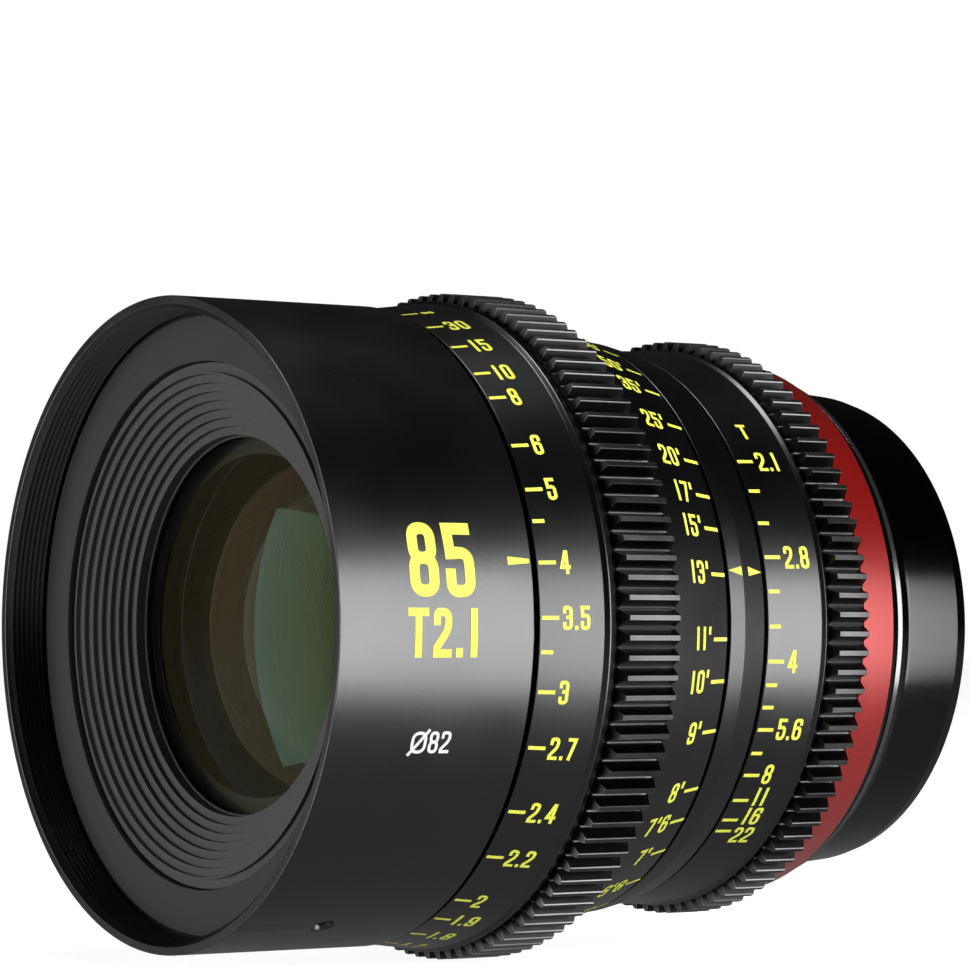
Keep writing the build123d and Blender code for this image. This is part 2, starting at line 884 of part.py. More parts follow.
# Iris ring: T-stop scale and geared grip
pin_top = turns_on_tube + drive_pin_seat
with BuildPart() as iris_ring:
    with BuildSketch(across(y_iris_gear)):
        Polygon(*gear_points(iris_teeth, iris_gap_angle), align=None)
    extrude(amount=-iris_gear_face)
    revolve(gear_blank(iris_teeth, y_iris_gear, y_iris_end), axis=Axis.Y, mode=Mode.INTERSECT)
    revolve(
        section(
            (turns_on_tube, y_iris),
            (iris_front_radius, y_iris),
            (iris_scale_radius, y_iris_lip),
            (iris_lip_radius, y_iris_lip + edge_chamfer * 2),
            (iris_lip_back_radius, y_iris_lip_end),
            (gear_root(iris_teeth), y_iris_gear),
            (gear_root(iris_teeth), y_iris_end),
            (turns_on_tube, y_iris_end),
        ),
        axis=Axis.Y,
    )
    with BuildSketch(outward(drive_pin_angle, y_drive_pin, tube_outer_radius)):
        Circle(drive_pin_radius + seat_fit)
    extrude(amount=pin_top - tube_outer_radius + seat_fit, mode=Mode.SUBTRACT)
write(iris_ring, "iris_ring")

# Drive pin: reaches from the iris ring through the tube and the housing into the cam plate
pin_bottom = cam_outer_radius - drive_pin_depth
with BuildPart() as iris_drive_pin:
    with BuildSketch(outward(drive_pin_angle, y_drive_pin, pin_bottom)):
        Circle(drive_pin_radius)
    extrude(amount=pin_top - pin_bottom)
write(iris_drive_pin, "iris_drive_pin")

# Iris housing: a cup whose floor holds the blade pivots, with a slot in its rim for the drive pin
with BuildPart() as iris_housing:
    revolve(
        section(
            (rim_bore, y_housing),
            (in_tube, y_housing),
            (in_tube, y_housing_end),
            (window_radius, y_housing_end),
            (window_radius, y_floor),
            (rim_bore, y_floor),
        ),
        axis=Axis.Y,
    )
    revolve(
        collar(
            rim_bore - axial_play,
            in_tube + cut_over,
            pin_slot_front,
            pin_slot_back,
            plane=half_plane(slot_start),
        ),
        axis=Axis.Y,
        revolution_arc=slot_turn,
        mode=Mode.SUBTRACT,
    )
    with BuildSketch(across(y_floor)):
        for blade in range(blade_count):
            with Locations(around(pivot_circle, blade * blade_step)):
                Circle(pivot_radius + running_fit)
    extrude(amount=-housing_floor, mode=Mode.SUBTRACT)
write(iris_housing, "iris_housing")

with BuildPart() as iris_retaining_ring:
    revolve(
        collar(rim_bore - keeper_width, rim_bore - seat_fit, y_housing, y_keeper_end), axis=Axis.Y
    )
write(iris_retaining_ring, "iris_retaining_ring")

# Cam plate: one curved slot for each blade, and an edge notch for the drive pin
with BuildPart() as iris_cam_plate:
    with BuildSketch(across(y_cam)):
        Circle(cam_outer_radius)
        Circle(cam_window, mode=Mode.SUBTRACT)
        for blade in range(blade_count):
            track = [turned_point(point, blade * blade_step) for point in cam_track]
            with BuildLine():
                ThreePointArc(*track)
            trace(line_width=cam_slot_width, mode=Mode.SUBTRACT)
            with Locations(track[0], track[-1]):
                Circle(cam_slot_width / 2, mode=Mode.SUBTRACT)
        with Locations(Location((*around(cam_outer_radius, drive_pin_angle), 0), -drive_pin_angle)):
            Rectangle((drive_pin_radius + seat_fit) * 2, (drive_pin_depth + seat_fit) * 2, mode=Mode.SUBTRACT)
    extrude(amount=-cam_thickness)
write(iris_cam_plate, "iris_cam_plate")

# Eleven iris blades, each a thin leaf that turns on its own pivot. Each lies one pitch behind the last.
rest_turn = blade_ratio * iris_rest_angle
for blade in range(blade_count):
    pivot_angle = blade * blade_step
    blade_pivot = around(pivot_circle, pivot_angle)
    blade_stud = turned_point(turned_point(stud_open, pivot_angle), rest_turn, blade_pivot)
    leaf_centre = turned_point((0, 0), rest_turn, blade_pivot)
    leaf_corners = []
    for radius, angle in (
        (leaf_inner_radius, 0),
        (leaf_inner_radius, leaf_angle / 2),
        (leaf_inner_radius, leaf_angle),
        (leaf_outer_radius, leaf_angle),
        (leaf_outer_radius, leaf_angle / 2),
        (leaf_outer_radius, 0),
    ):
        corner = around(radius, pivot_angle + angle)
        leaf_corners.append(turned_point(corner, rest_turn, blade_pivot))
    inner_start, inner_middle, inner_end, outer_end, outer_middle, outer_start = leaf_corners
    y_blade = y_blades + blade * blade_pitch
    y_blade_back = y_blade + blade_thickness
    with BuildPart() as iris_blade:
        with BuildSketch(across(y_blade)):
            with BuildLine():
                ThreePointArc(inner_start, inner_middle, inner_end)
                Line(inner_end, outer_end)
                ThreePointArc(outer_end, outer_middle, outer_start)
                Line(outer_start, inner_start)
            make_face()
            with BuildSketch(mode=Mode.PRIVATE) as root:
                with Locations(blade_pivot):
                    Circle(pivot_boss)
                with Locations(turned_point(around(leaf_root_radius, pivot_angle), rest_turn, blade_pivot)):
                    Circle(pivot_boss)
                make_hull()
            with BuildSketch(mode=Mode.PRIVATE) as tail:
                with Locations(blade_pivot):
                    Circle(pivot_boss)
                with Locations(blade_stud):
                    Circle(drive_boss)
                make_hull()
            add(root.sketch)
            add(tail.sketch)
        extrude(amount=-blade_thickness)
        with BuildSketch(across(y_blade_back)):
            with Locations(blade_pivot):
                Circle(pivot_radius)
        extrude(amount=-(y_housing_end - y_blade_back - axial_play))
        with BuildSketch(across(y_blade)):
            with Locations(blade_stud):
                Circle(drive_stud_radius)
        extrude(amount=y_blade - y_cam - axial_play)
    write(iris_blade, f"iris_blade_{blade + 1:02d}")

# Red ring: the anodised accent ring in front of the rear barrel
with BuildPart() as red_ring:
    revolve(
        section(
            (on_tube, y_red),
            (red_front_radius, y_red),
            (red_back_radius, y_rear),
            (on_tube, y_rear),
        ),
        axis=Axis.Y,
    )
write(red_ring, "red_ring")

# Rear barrel: a band, a groove, a bright strip, a concave neck and the glossy rear cylinder
y_band_end = y_rear + rear_band_length
y_groove_end = y_band_end + rear_groove_length
y_strip_end = y_groove_end + rear_strip_length
y_cylinder = y_strip_end + cove_length
y_rear_end = -mount_setback
y_taper = y_rear_end - rear_taper_length
y_mount_seat = -flange_thickness
mount_angles = [mount_screw_angle + turn * 360 / mount_screw_count for turn in range(mount_screw_count)]
cove_middle = (
    cove_radius + (rear_strip_radius - cove_radius) * cove_hollow_share,
    y_strip_end + cove_length / 2,
)
with BuildPart() as rear_barrel:
    with BuildSketch(Plane.XY):
        with BuildLine():
            Polyline(
                (rear_strip_radius, y_strip_end),
                (rear_strip_radius, y_groove_end),
                (rear_groove_radius, y_groove_end),
                (rear_groove_radius, y_band_end),
                (rear_band_back_radius, y_band_end),
                (rear_band_front_radius, y_rear),
                (on_tube, y_rear),
                (on_tube, tube_end),
                (rear_bore, tube_end),
                (rear_bore, y_mount_seat),
                (flange_radius + seat_fit, y_mount_seat),
                (flange_radius + seat_fit, y_rear_end),
                (rear_end_radius, y_rear_end),
                (rear_cylinder_back_radius, y_taper),
                (cove_radius, y_cylinder),
            )
            ThreePointArc((cove_radius, y_cylinder), cove_middle, (rear_strip_radius, y_strip_end))
        make_face()
    revolve(axis=Axis.Y)
    with BuildSketch(across(y_mount_seat)):
        for angle in mount_angles:
            with Locations(around(mount_screw_circle, angle)):
                Circle(mount_screw_radius + seat_fit)
    extrude(amount=mount_screw_length, mode=Mode.SUBTRACT)
    with BuildSketch(outward(index_dot_angle, -index_dot_place, dot_seat_radius)):
        Circle(index_dot_radius + seat_fit)
    extrude(amount=index_dot_depth + cut_over, mode=Mode.SUBTRACT)
write(rear_barrel, "rear_barrel")

# Index dot for fitting the bayonet, let into the rear barrel
with BuildPart() as mount_index_dot:
    with BuildSketch(outward(index_dot_angle, -index_dot_place, dot_seat_radius)):
        Circle(index_dot_radius)
    extrude(amount=index_dot_depth)
write(mount_index_dot, "mount_index_dot")

# Mount plate: a steel bayonet plate with flange face, relief, spigot and three lugs
with BuildPart() as mount_plate:
    revolve(
        section(
            (spigot_bore, -flange_thickness),
            (flange_radius, -flange_thickness),
            (flange_radius, 0),
            (relief_radius, 0),
            (relief_radius, -relief_depth),
            (spigot_radius, -relief_depth),
            (spigot_radius, spigot_length),
            (spigot_bore, spigot_length),
        ),
        axis=Axis.Y,
    )
    for angle, span in zip(lug_angles, lug_span_angles):
        revolve(
            collar(
                spigot_radius - seat_fit,
                lug_radius,
                spigot_length - lug_thickness,
                spigot_length,
                plane=half_plane(angle),
            ),
            axis=Axis.Y,
            revolution_arc=span,
        )
    for angle in mount_angles:
        with BuildSketch(across(0)):
            with Locations(around(mount_screw_circle, angle)):
                Circle(mount_screw_radius + seat_fit)
        extrude(amount=flange_thickness, mode=Mode.SUBTRACT)
        with BuildSketch(across(0)):
            with Locations(around(mount_screw_circle, angle)):
                Circle(mount_screw_head + seat_fit)
        extrude(amount=mount_head_height, mode=Mode.SUBTRACT)
    with BuildSketch(across(0)):
        with Locations(around(mount_screw_circle, lock_hole_angle)):
            Circle(lock_hole_radius)
    extrude(amount=lock_hole_depth, mode=Mode.SUBTRACT)
write(mount_plate, "mount_plate")

# Four screws that hold the mount plate, with cross recesses in their sunk heads
with BuildPart() as mount_screws:
    for angle in mount_angles:
        with BuildSketch(across(-head_sink)):
            with Locations(around(mount_screw_circle, angle)):
                Circle(mount_screw_head)
        extrude(amount=mount_head_height - head_sink)
        with BuildSketch(across(-head_sink)):
            with Locations(around(mount_screw_circle, angle)):
                Circle(mount_screw_radius)
        extrude(amount=mount_screw_length)
        with BuildSketch(across(-head_sink)):
            with Locations(around(mount_screw_circle, angle)):
                Rectangle(cross_length, cross_width)
                Rectangle(cross_width, cross_length)
        extrude(amount=cross_depth, mode=Mode.SUBTRACT)
write(mount_screws, "mount_screws")

# Rear cell with its two elements and the ring that holds the last one
y_rear_cell = y_housing_end
y_rear_cell_end = -rear_cell_end
y_rear_glass_back = y_rear_cell_end - rear_retainer_length
y_rear_glass = y_rear_glass_back - rear_glass_edge
y_inner_glass = y_rear_cell + inner_glass_setback
y_inner_seat = y_inner_glass + inner_glass_edge
with BuildPart() as rear_cell:
    revolve(
        section(
            (inner_glass_radius + seat_fit, y_rear_cell),
            (in_tube, y_rear_cell),
            (in_tube, y_rear_cell + rear_cell_flange),
            (rear_cell_radius, y_rear_cell + rear_cell_flange),
            (rear_cell_radius, y_rear_cell_end),
            (rear_glass_radius + seat_fit, y_rear_cell_end),
            (rear_glass_radius + seat_fit, y_rear_glass),
            (rear_cell_bore, y_rear_glass),
            (rear_cell_bore, y_inner_seat),
            (inner_glass_radius + seat_fit, y_inner_seat),
        ),
        axis=Axis.Y,
    )
write(rear_cell, "rear_cell")

with BuildPart() as rear_inner_element:
    revolve(
        glass_section(
            inner_glass_radius,
            y_inner_glass,
            y_inner_seat,
            inner_glass_hollow,
            inner_glass_bulge,
            seat_lip,
        ),
        axis=Axis.Y,
    )
write(rear_inner_element, "rear_inner_element")

with BuildPart() as rear_element:
    revolve(
        glass_section(
            rear_glass_radius,
            y_rear_glass,
            y_rear_glass_back,
            -rear_glass_front_bulge,
            rear_glass_back_bulge,
            seat_lip,
        ),
        axis=Axis.Y,
    )
write(rear_element, "rear_element")

with BuildPart() as rear_retainer:
    revolve(
        collar(
            rear_glass_radius - retainer_lip, rear_glass_radius, y_rear_glass_back, y_rear_cell_end
        ),
        axis=Axis.Y,
    )
write(rear_retainer, "rear_retainer")

# Rear baffle: a thin black ring in the spigot that keeps stray light off the sensor
with BuildPart() as rear_baffle:
    revolve(
        collar(
            rear_baffle_bore,
            spigot_bore - seat_fit,
            spigot_length - rear_baffle_setback - rear_baffle_thickness,
            spigot_length - rear_baffle_setback,
        ),
        axis=Axis.Y,
    )
write(rear_baffle, "rear_baffle")
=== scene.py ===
# %% [markdown]
# A cinema prime lens, dressed around its packed construction. The construction gives every ring its
# place and its joint; this notebook gives each one its fine edges, its finish and its engraved scale.
# Everything is in metres in the construction's frame: the optical axis is Y, the front rim points to
# -Y and the mount face lies at Y = 0.

# %% The frame and the units
import json
from math import cos, pi, radians, sin, tan

import bpy
import numpy as np
from mathutils import Matrix, Vector


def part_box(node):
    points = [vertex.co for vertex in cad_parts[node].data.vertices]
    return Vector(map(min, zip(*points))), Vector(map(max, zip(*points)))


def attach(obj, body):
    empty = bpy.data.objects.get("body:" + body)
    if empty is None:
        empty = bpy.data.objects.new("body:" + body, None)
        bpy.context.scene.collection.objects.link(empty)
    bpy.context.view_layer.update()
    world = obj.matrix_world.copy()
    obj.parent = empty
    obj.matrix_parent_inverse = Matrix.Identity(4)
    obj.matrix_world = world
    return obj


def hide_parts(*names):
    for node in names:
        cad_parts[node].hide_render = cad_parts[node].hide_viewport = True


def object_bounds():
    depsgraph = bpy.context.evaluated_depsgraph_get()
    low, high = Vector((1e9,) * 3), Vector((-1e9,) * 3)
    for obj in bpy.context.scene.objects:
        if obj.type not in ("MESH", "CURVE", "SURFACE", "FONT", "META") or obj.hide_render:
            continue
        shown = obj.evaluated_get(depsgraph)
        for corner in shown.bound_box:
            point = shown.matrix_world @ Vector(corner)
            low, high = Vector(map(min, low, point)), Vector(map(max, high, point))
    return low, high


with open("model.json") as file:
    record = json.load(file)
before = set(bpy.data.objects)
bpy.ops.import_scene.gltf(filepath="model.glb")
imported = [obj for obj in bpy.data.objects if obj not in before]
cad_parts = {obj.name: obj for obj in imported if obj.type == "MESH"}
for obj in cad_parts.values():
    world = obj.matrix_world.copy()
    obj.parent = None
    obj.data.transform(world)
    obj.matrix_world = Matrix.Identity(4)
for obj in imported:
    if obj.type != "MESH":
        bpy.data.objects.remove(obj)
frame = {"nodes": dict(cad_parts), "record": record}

MM = 0.001
bpy.context.scene.view_settings.view_transform = "Standard"
cad_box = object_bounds()
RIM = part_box("front_barrel")[0].y / MM


def ends(node):
    """Front and back of a node, in mm behind the front rim."""
    low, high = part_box(node)
    return low.y / MM - RIM, high.y / MM - RIM


print("rim at", round(RIM, 2), "mm, focus ring from and to", [round(v, 2) for v in ends("focus_ring")])

# %% [markdown]
# A lens is lathe work, so its pieces are drawn as half sections: closed outlines of corners, each given
# as a distance behind the rim and a radius. A lathe hand breaks every edge a little, so each corner
# becomes a small arc here. The arcs also carry a mask, from 0 at their ends to 1 in the middle, that the
# materials use for the brighter metal on a rubbed edge.

# %% Rounding the corners of a half section
ARC_POINTS = 4
EDGE = 0.07


def rounded(corners, radius):
    """Round every corner of a closed outline. With n0 and n1 the outward normals of a corner's two
    edges, the arc's centre is corner - side * r * (n0 + n1) / (1 + n0.n1), and its points are
    centre + side * r * n, where n turns evenly from n0 to n1. Gives points, normals and edge mask."""
    p = np.asarray([c[:2] for c in corners], float)
    r = np.array([c[2] if len(c) > 2 else radius for c in corners])
    if np.sum(p[:, 0] * np.roll(p[:, 1], -1) - np.roll(p[:, 0], -1) * p[:, 1]) < 0:
        p, r = p[::-1], r[::-1]
    edge = np.roll(p, -1, 0) - p
    length = np.linalg.norm(edge, axis=1)
    normal = np.column_stack((edge[:, 1], -edge[:, 0])) / length[:, None]
    before = np.roll(normal, 1, 0)
    cross = before[:, 0] * normal[:, 1] - before[:, 1] * normal[:, 0]
    dot = np.clip(np.sum(before * normal, 1), -1, 1)
    turn = np.maximum(np.arccos(dot), 1e-3)
    side = np.where(cross >= 0, 1.0, -1.0)
    r = np.minimum(r, 0.42 * np.minimum(length, np.roll(length, 1)) / np.tan(turn / 2))
    centre = p - (side * r / (1 + dot))[:, None] * (before + normal)
    u = np.linspace(0, 1, ARC_POINTS)[None, :]
    n = (
        (np.sin((1 - u) * turn[:, None]) / np.sin(turn)[:, None])[..., None] * before[:, None, :]
        + (np.sin(u * turn[:, None]) / np.sin(turn)[:, None])[..., None] * normal[:, None, :]
    )
    n /= np.linalg.norm(n, axis=2, keepdims=True)
    points = centre[:, None, :] + (side * r)[:, None, None] * n
    mask = (side > 0)[:, None] * (1 - (2 * u - 1) ** 2) * (turn > 0.3)[:, None]
    return points.reshape(-1, 2), n.reshape(-1, 2), mask.reshape(-1)


print("a square gives", len(rounded([(0, 0), (1, 0), (1, 1), (0, 1)], 0.1)[0]), "points")

# %% [markdown]
# Every new mesh is filled from arrays by one function. It makes the piece ride on the body that its
# construction solid belongs to, names its finish, and hides the solid that it stands for.

# %% From arrays to a piece
def in_scene(name, data):
    """A new object, linked into the scene."""
    thing = bpy.data.objects.new(name, data)
    bpy.context.scene.collection.objects.link(thing)
    return thing


def new_piece(name, points, faces, body, material, replaces=(), normals=None, edge=None, sharp=None):
    """A mesh piece from points in mm and faces. Normals, if given, are one per point; otherwise edges
    sharper than `sharp` degrees stay sharp."""
    mesh = bpy.data.meshes.new(name)
    mesh.from_pydata((points * MM).tolist(), [], faces.tolist())
    mesh.polygons.foreach_set("use_smooth", np.ones(len(mesh.polygons), bool))
    mesh.update()
    if edge is not None:
        mesh.attributes.new("edge", "FLOAT", "POINT").data.foreach_set("value", edge.astype(np.float32))
    if normals is not None:
        mesh.normals_split_custom_set_from_vertices(normals.tolist())
    if sharp is not None:
        mesh.set_sharp_from_angle(angle=radians(sharp))
    mesh.materials.append(material)
    piece = in_scene(name, mesh)
    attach(piece, body)
    if replaces:
        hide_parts(*replaces)
    print(name, len(mesh.polygons), "faces")
    return piece


def grid_faces(rows, columns, wrap_rows=True, wrap_columns=True):
    """Quads over a grid of points kept row by row; a wrapped side joins its last line to its first."""
    i = np.arange(rows if wrap_rows else rows - 1)
    j = np.arange(columns if wrap_columns else columns - 1)
    i, j = np.meshgrid(i, j, indexing="ij")
    i2, j2 = (i + 1) % rows, (j + 1) % columns
    corners = (i * columns + j, i * columns + j2, i2 * columns + j2, i2 * columns + j)
    return np.stack(corners, -1).reshape(-1, 4)


# %% [markdown]
# The lathe itself. A half section carried round the axis gives rows of points, one row for each point
# of the outline. Normals come from the outline and not from the faces, so that a flat face stays flat
# right up to its edge, as on turned metal.

# %% The lathe
SEGMENTS = 300


def swept(r, s, t):
    """Points or normals with the part r away from the axis and s along it, at the angle t from +Z
    towards +X: (r sin t, s, r cos t), as one list."""
    return np.stack((r * np.sin(t), s + 0 * t, r * np.cos(t)), -1).reshape(-1, 3)


def turned(name, corners, body, material, replaces=(), radius=EDGE, segments=SEGMENTS):
    """A closed ring from a half section of (s, r) corners, with s in mm behind the rim."""
    flat, flat_normal, mask = rounded([(c[1], c[0], *c[2:]) for c in corners], radius)
    t = np.linspace(0, 2 * pi, segments, endpoint=False)[None, :]
    points = swept(flat[:, :1], RIM + flat[:, 1:], t)
    normals = swept(flat_normal[:, :1], flat_normal[:, 1:], t)
    faces = grid_faces(len(flat), segments)
    return new_piece(name, points, faces, body, material, replaces, normals, np.repeat(mask, segments))


# %% [markdown]
# Black anodising is a thin dyed oxide on blasted aluminium: nearly black, a little metallic, with a
# sparkle too fine to see as dots. One node group gives that grain, the slight clouding of the dye and
# the brighter edges, which are rubbed wear and, on the gear teeth, also a painted highlight. Each
# material sets its own colour and gloss on top.

# %% The shared finish
CLOUD_SCALE, GRAIN_SCALE, LINES_SCALE = 90, 5200, (200, 9000, 200)
GRAIN_DEPTH, LINES_DEPTH = 0.00002, 0.00001
CLOUD_SHADE, CLOUD_ROUGH = 0.12, 0.12


def set_inputs(node, values):
    """Values for the inputs of a node, by their names or numbers."""
    for name, value in values.items():
        node.inputs[name].default_value = value


def add_node(nodes, kind, values={}, **settings):
    """A new shader node with its own settings first and then the values of its inputs."""
    node = nodes.new("ShaderNode" + kind)
    for name, setting in settings.items():
        setattr(node, name, setting)
    set_inputs(node, values)
    return node


def join(link, *wires):
    """Links, each given as a node, its output, the next node and its input."""
    for start, output, end, socket in wires:
        link(start.outputs[output], end.inputs[socket])


def new_material(name):
    """A material, the list of its nodes, its link function and its Principled shader."""
    material = bpy.data.materials.new(name)
    material.use_nodes = True
    nodes = material.node_tree.nodes
    return material, nodes, material.node_tree.links.new, nodes["Principled BSDF"]


def finish_group():
    """Group: colours and roughness in; clouded colour, brighter at rubbed edges and at the teeth's painted
    highlights, roughness and normal out.
    """
    group = bpy.data.node_groups.new("machined_finish", "ShaderNodeTree")
    for side, label, kind in (
        ("INPUT", "Colour", "Color"),
        ("INPUT", "Edge colour", "Color"),
        ("INPUT", "Roughness", "Float"),
        ("INPUT", "Grain", "Float"),
        ("INPUT", "Turning", "Float"),
        ("OUTPUT", "Colour", "Color"),
        ("OUTPUT", "Roughness", "Float"),
        ("OUTPUT", "Normal", "Vector"),
    ):
        group.interface.new_socket(name=label, in_out=side, socket_type="NodeSocket" + kind)
    nodes, link = group.nodes, group.links.new
    given, out = nodes.new("NodeGroupInput"), nodes.new("NodeGroupOutput")
    where = add_node(nodes, "TexCoord")
    cloud = add_node(nodes, "TexNoise", {"Scale": CLOUD_SCALE, "Detail": 3})
    grain = add_node(nodes, "TexNoise", {"Scale": GRAIN_SCALE, "Detail": 1})
    turning = add_node(nodes, "Mapping", {"Scale": LINES_SCALE})
    lines = add_node(nodes, "TexNoise", {"Scale": 1})
    edge = add_node(nodes, "Attribute", attribute_name="edge")
    # The edge mask, shaded by the clouds: rubbed wear on the rings, and on the teeth also a painted
    # highlight.
    wear_and_highlight = add_node(nodes, "Math", operation="MULTIPLY")
    shade = add_node(nodes, "Mix", {"Factor": CLOUD_SHADE}, data_type="RGBA", blend_type="MULTIPLY")
    wear_and_highlight_mix = add_node(nodes, "Mix", data_type="RGBA")
    rough = add_node(nodes, "Math", {1: CLOUD_ROUGH}, operation="MULTIPLY_ADD")
    fine = add_node(nodes, "Bump", {"Distance": GRAIN_DEPTH})
    round_lines = add_node(nodes, "Bump", {"Distance": LINES_DEPTH})
    join(
        link,
        (where, "Object", cloud, "Vector"),
        (where, "Object", grain, "Vector"),
        (where, "Object", turning, "Vector"),
        (turning, "Vector", lines, "Vector"),
        # The colour, shaded by the clouds and turned to the edge colour where the mask is high: rubbed wear
        # on the rings, and rubbed wear with a painted highlight on the teeth.
        (given, "Colour", shade, "A"),
        (cloud, "Fac", shade, "B"),
        (edge, "Fac", wear_and_highlight, 0),
        (cloud, "Fac", wear_and_highlight, 1),
        (wear_and_highlight, 0, wear_and_highlight_mix, "Factor"),
        (shade, "Result", wear_and_highlight_mix, "A"),
        (given, "Edge colour", wear_and_highlight_mix, "B"),
        (wear_and_highlight_mix, "Result", out, "Colour"),
        # The roughness, a little higher in the clouds.
        (cloud, "Fac", rough, 0),
        (given, "Roughness", rough, 2),
        (rough, 0, out, "Roughness"),
        # The blasted grain, and the fine lines of the lathe over it.
        (given, "Grain", fine, "Strength"),
        (grain, "Fac", fine, "Height"),
        (given, "Turning", round_lines, "Strength"),
        (lines, "Fac", round_lines, "Height"),
        (fine, "Normal", round_lines, "Normal"),
        (round_lines, "Normal", out, "Normal"),
    )
    return group


FINISH = finish_group()
print("group", FINISH.name, "with", len(FINISH.nodes), "nodes")

# %% [markdown]
# The lens wears few finishes: satin black on the rings, a darker black on the teeth, which is painted
# shade for the shadow between them, with tips rubbed bright and given a painted highlight, a dull black
# in the mouth, a polished black at the rear, red on the accent ring, bare steel on the mount, and paint
# in the engraved marks. The values are plain colours, so they hold under other light too, except the
# painted shade and highlight on the teeth.

# %% The metals and paints
COAT_ROUGHNESS, COAT_INDEX = 0.26, 1.9


def finished(name, colour, edge_colour, roughness, metallic, grain=0.2, turning=0.1, specular=0.5,
             coat=0.0):
    """A Principled material whose colour, roughness and normal come from the shared finish."""
    material, nodes, link, shader = new_material(name)
    given = {
        "Colour": (*colour, 1), "Edge colour": (*edge_colour, 1),
        "Roughness": roughness, "Grain": grain, "Turning": turning,
    }
    finish = add_node(nodes, "Group", given, node_tree=FINISH)
    set_inputs(shader, {
        "Metallic": metallic, "Specular IOR Level": specular,
        "Coat Weight": coat, "Coat Roughness": COAT_ROUGHNESS, "Coat IOR": COAT_INDEX,
    })
    join(
        link,
        (finish, "Colour", shader, "Base Color"),
        (finish, "Roughness", shader, "Roughness"),
        (finish, "Normal", shader, "Normal"),
    )
    return material


def grey(value):
    """A grey with the faint blue of black dye."""
    return (value, value, value * 1.02)


black = finished("black_anodised", grey(0.125), grey(0.2), 0.235, 1.0, 0.3, 0.2)
# Painted shade and highlight: the teeth are a darker black than their ring, for the shadow between them, and
# their bright edge colour is a painted highlight on the tips, over rubbed wear, and at the foot of each
# flank.
gear_shade_and_highlight = finished("gear_anodised", grey(0.03), grey(0.5), 0.34, 1.0, 0.3, 0.1)
matt = finished("matt_black", grey(0.055), grey(0.06), 0.6, 0.0, 0.4, 0.4, 0.25)
trim_black = finished("trim_black", grey(0.032), grey(0.04), 0.6, 0.0, 0.4, 0.4, 0.25)
gloss = finished("gloss_black", grey(0.07), grey(0.12), 0.09, 1.0, 0.0, 0.02)
red = finished("red_anodised", (0.5, 0.012, 0.010), (0.7, 0.1, 0.08), 0.25, 0.7, 0.2, 0.2, coat=1.0)
steel = finished("mount_steel", (0.6, 0.59, 0.57), (0.8, 0.8, 0.8), 0.16, 1.0, 0.05, 0.6)
bright = finished("bright_strip", grey(0.25), grey(0.4), 0.15, 0.95, 0.1, 0.3)
inner = finished("inner_aluminium", grey(0.03), grey(0.08), 0.35, 0.6, 0.2, 0.5)
screws = finished("screw_steel", grey(0.12), grey(0.3), 0.2, 1.0, 0.1, 0.0)
blades = finished("blade_steel", grey(0.03), grey(0.06), 0.35, 0.7, 0.3, 0.0)
washer = finished("washer_plastic", grey(0.006), grey(0.01), 0.5, 0.0, 0.2, 0.1)
dot_paint = finished("index_paint", (0.65, 0.03, 0.02), (0.65, 0.03, 0.02), 0.25, 0.0, 0.05, 0.0)
yellow = finished("yellow_paint", (0.82, 0.85, 0.10), (0.82, 0.85, 0.10), 0.35, 0.0, 0.2, 0.0, 0.3)
white = finished("white_paint", (0.80, 0.80, 0.78), (0.8, 0.8, 0.78), 0.35, 0.0, 0.2, 0.0, 0.3)
print("materials:", len(bpy.data.materials))

# %% [markdown]
# The front barrel is a plain sleeve with the filter thread cut inside its mouth. The thread's ridges
# stand 0.75 mm apart, so they are drawn as a saw-tooth line inside the section; at this scale rings
# look the same as the real thread's very shallow spiral.

# %% Front barrel with its filter thread
FRONT_RADIUS = 42.5
THREAD_MAJOR, THREAD_MINOR, THREAD_PITCH = 41.0, 40.6, 0.75
THREAD_FROM, THREAD_TURNS = 0.45, 6
TRIM_FRONT, TRIM_BACK = ends("front_ring")
BARREL_END = ends("front_barrel")[1]
TUBE_SEAT = 35.55
TRIM_SEAT = 40.3

thread = []
for turn in range(THREAD_TURNS, -1, -1):
    crest = THREAD_FROM + (turn + 0.5) * THREAD_PITCH
    thread.append((crest + THREAD_PITCH / 2, THREAD_MAJOR, 0.03))
    thread.append((crest, THREAD_MINOR, 0.05))
thread.append((THREAD_FROM, THREAD_MAJOR, 0.03))
barrel = turned(
    "barrel_sleeve",
    [
        (0, THREAD_MAJOR + 0.4, 0.1),
        (0, FRONT_RADIUS, 0.12),
        (BARREL_END, FRONT_RADIUS, 0.25),
        (BARREL_END, TUBE_SEAT),
        (TRIM_BACK, TUBE_SEAT),
        (TRIM_BACK, TRIM_SEAT),
        (TRIM_FRONT, TRIM_SEAT),
        (TRIM_FRONT, THREAD_MAJOR + 0.3),
        (TRIM_FRONT - 0.2, THREAD_MAJOR + 0.3),
        *thread,
    ],
    "barrel", black, ["front_barrel"],
)

# %% [markdown]
# Behind the thread lies a flat matt ring, and behind that a funnel of fine steps, which break up stray
# light. Each step has a flat that faces forward and shows grey, and a wall that stays black. The funnel
# ends in a narrow shelf just before the glass.

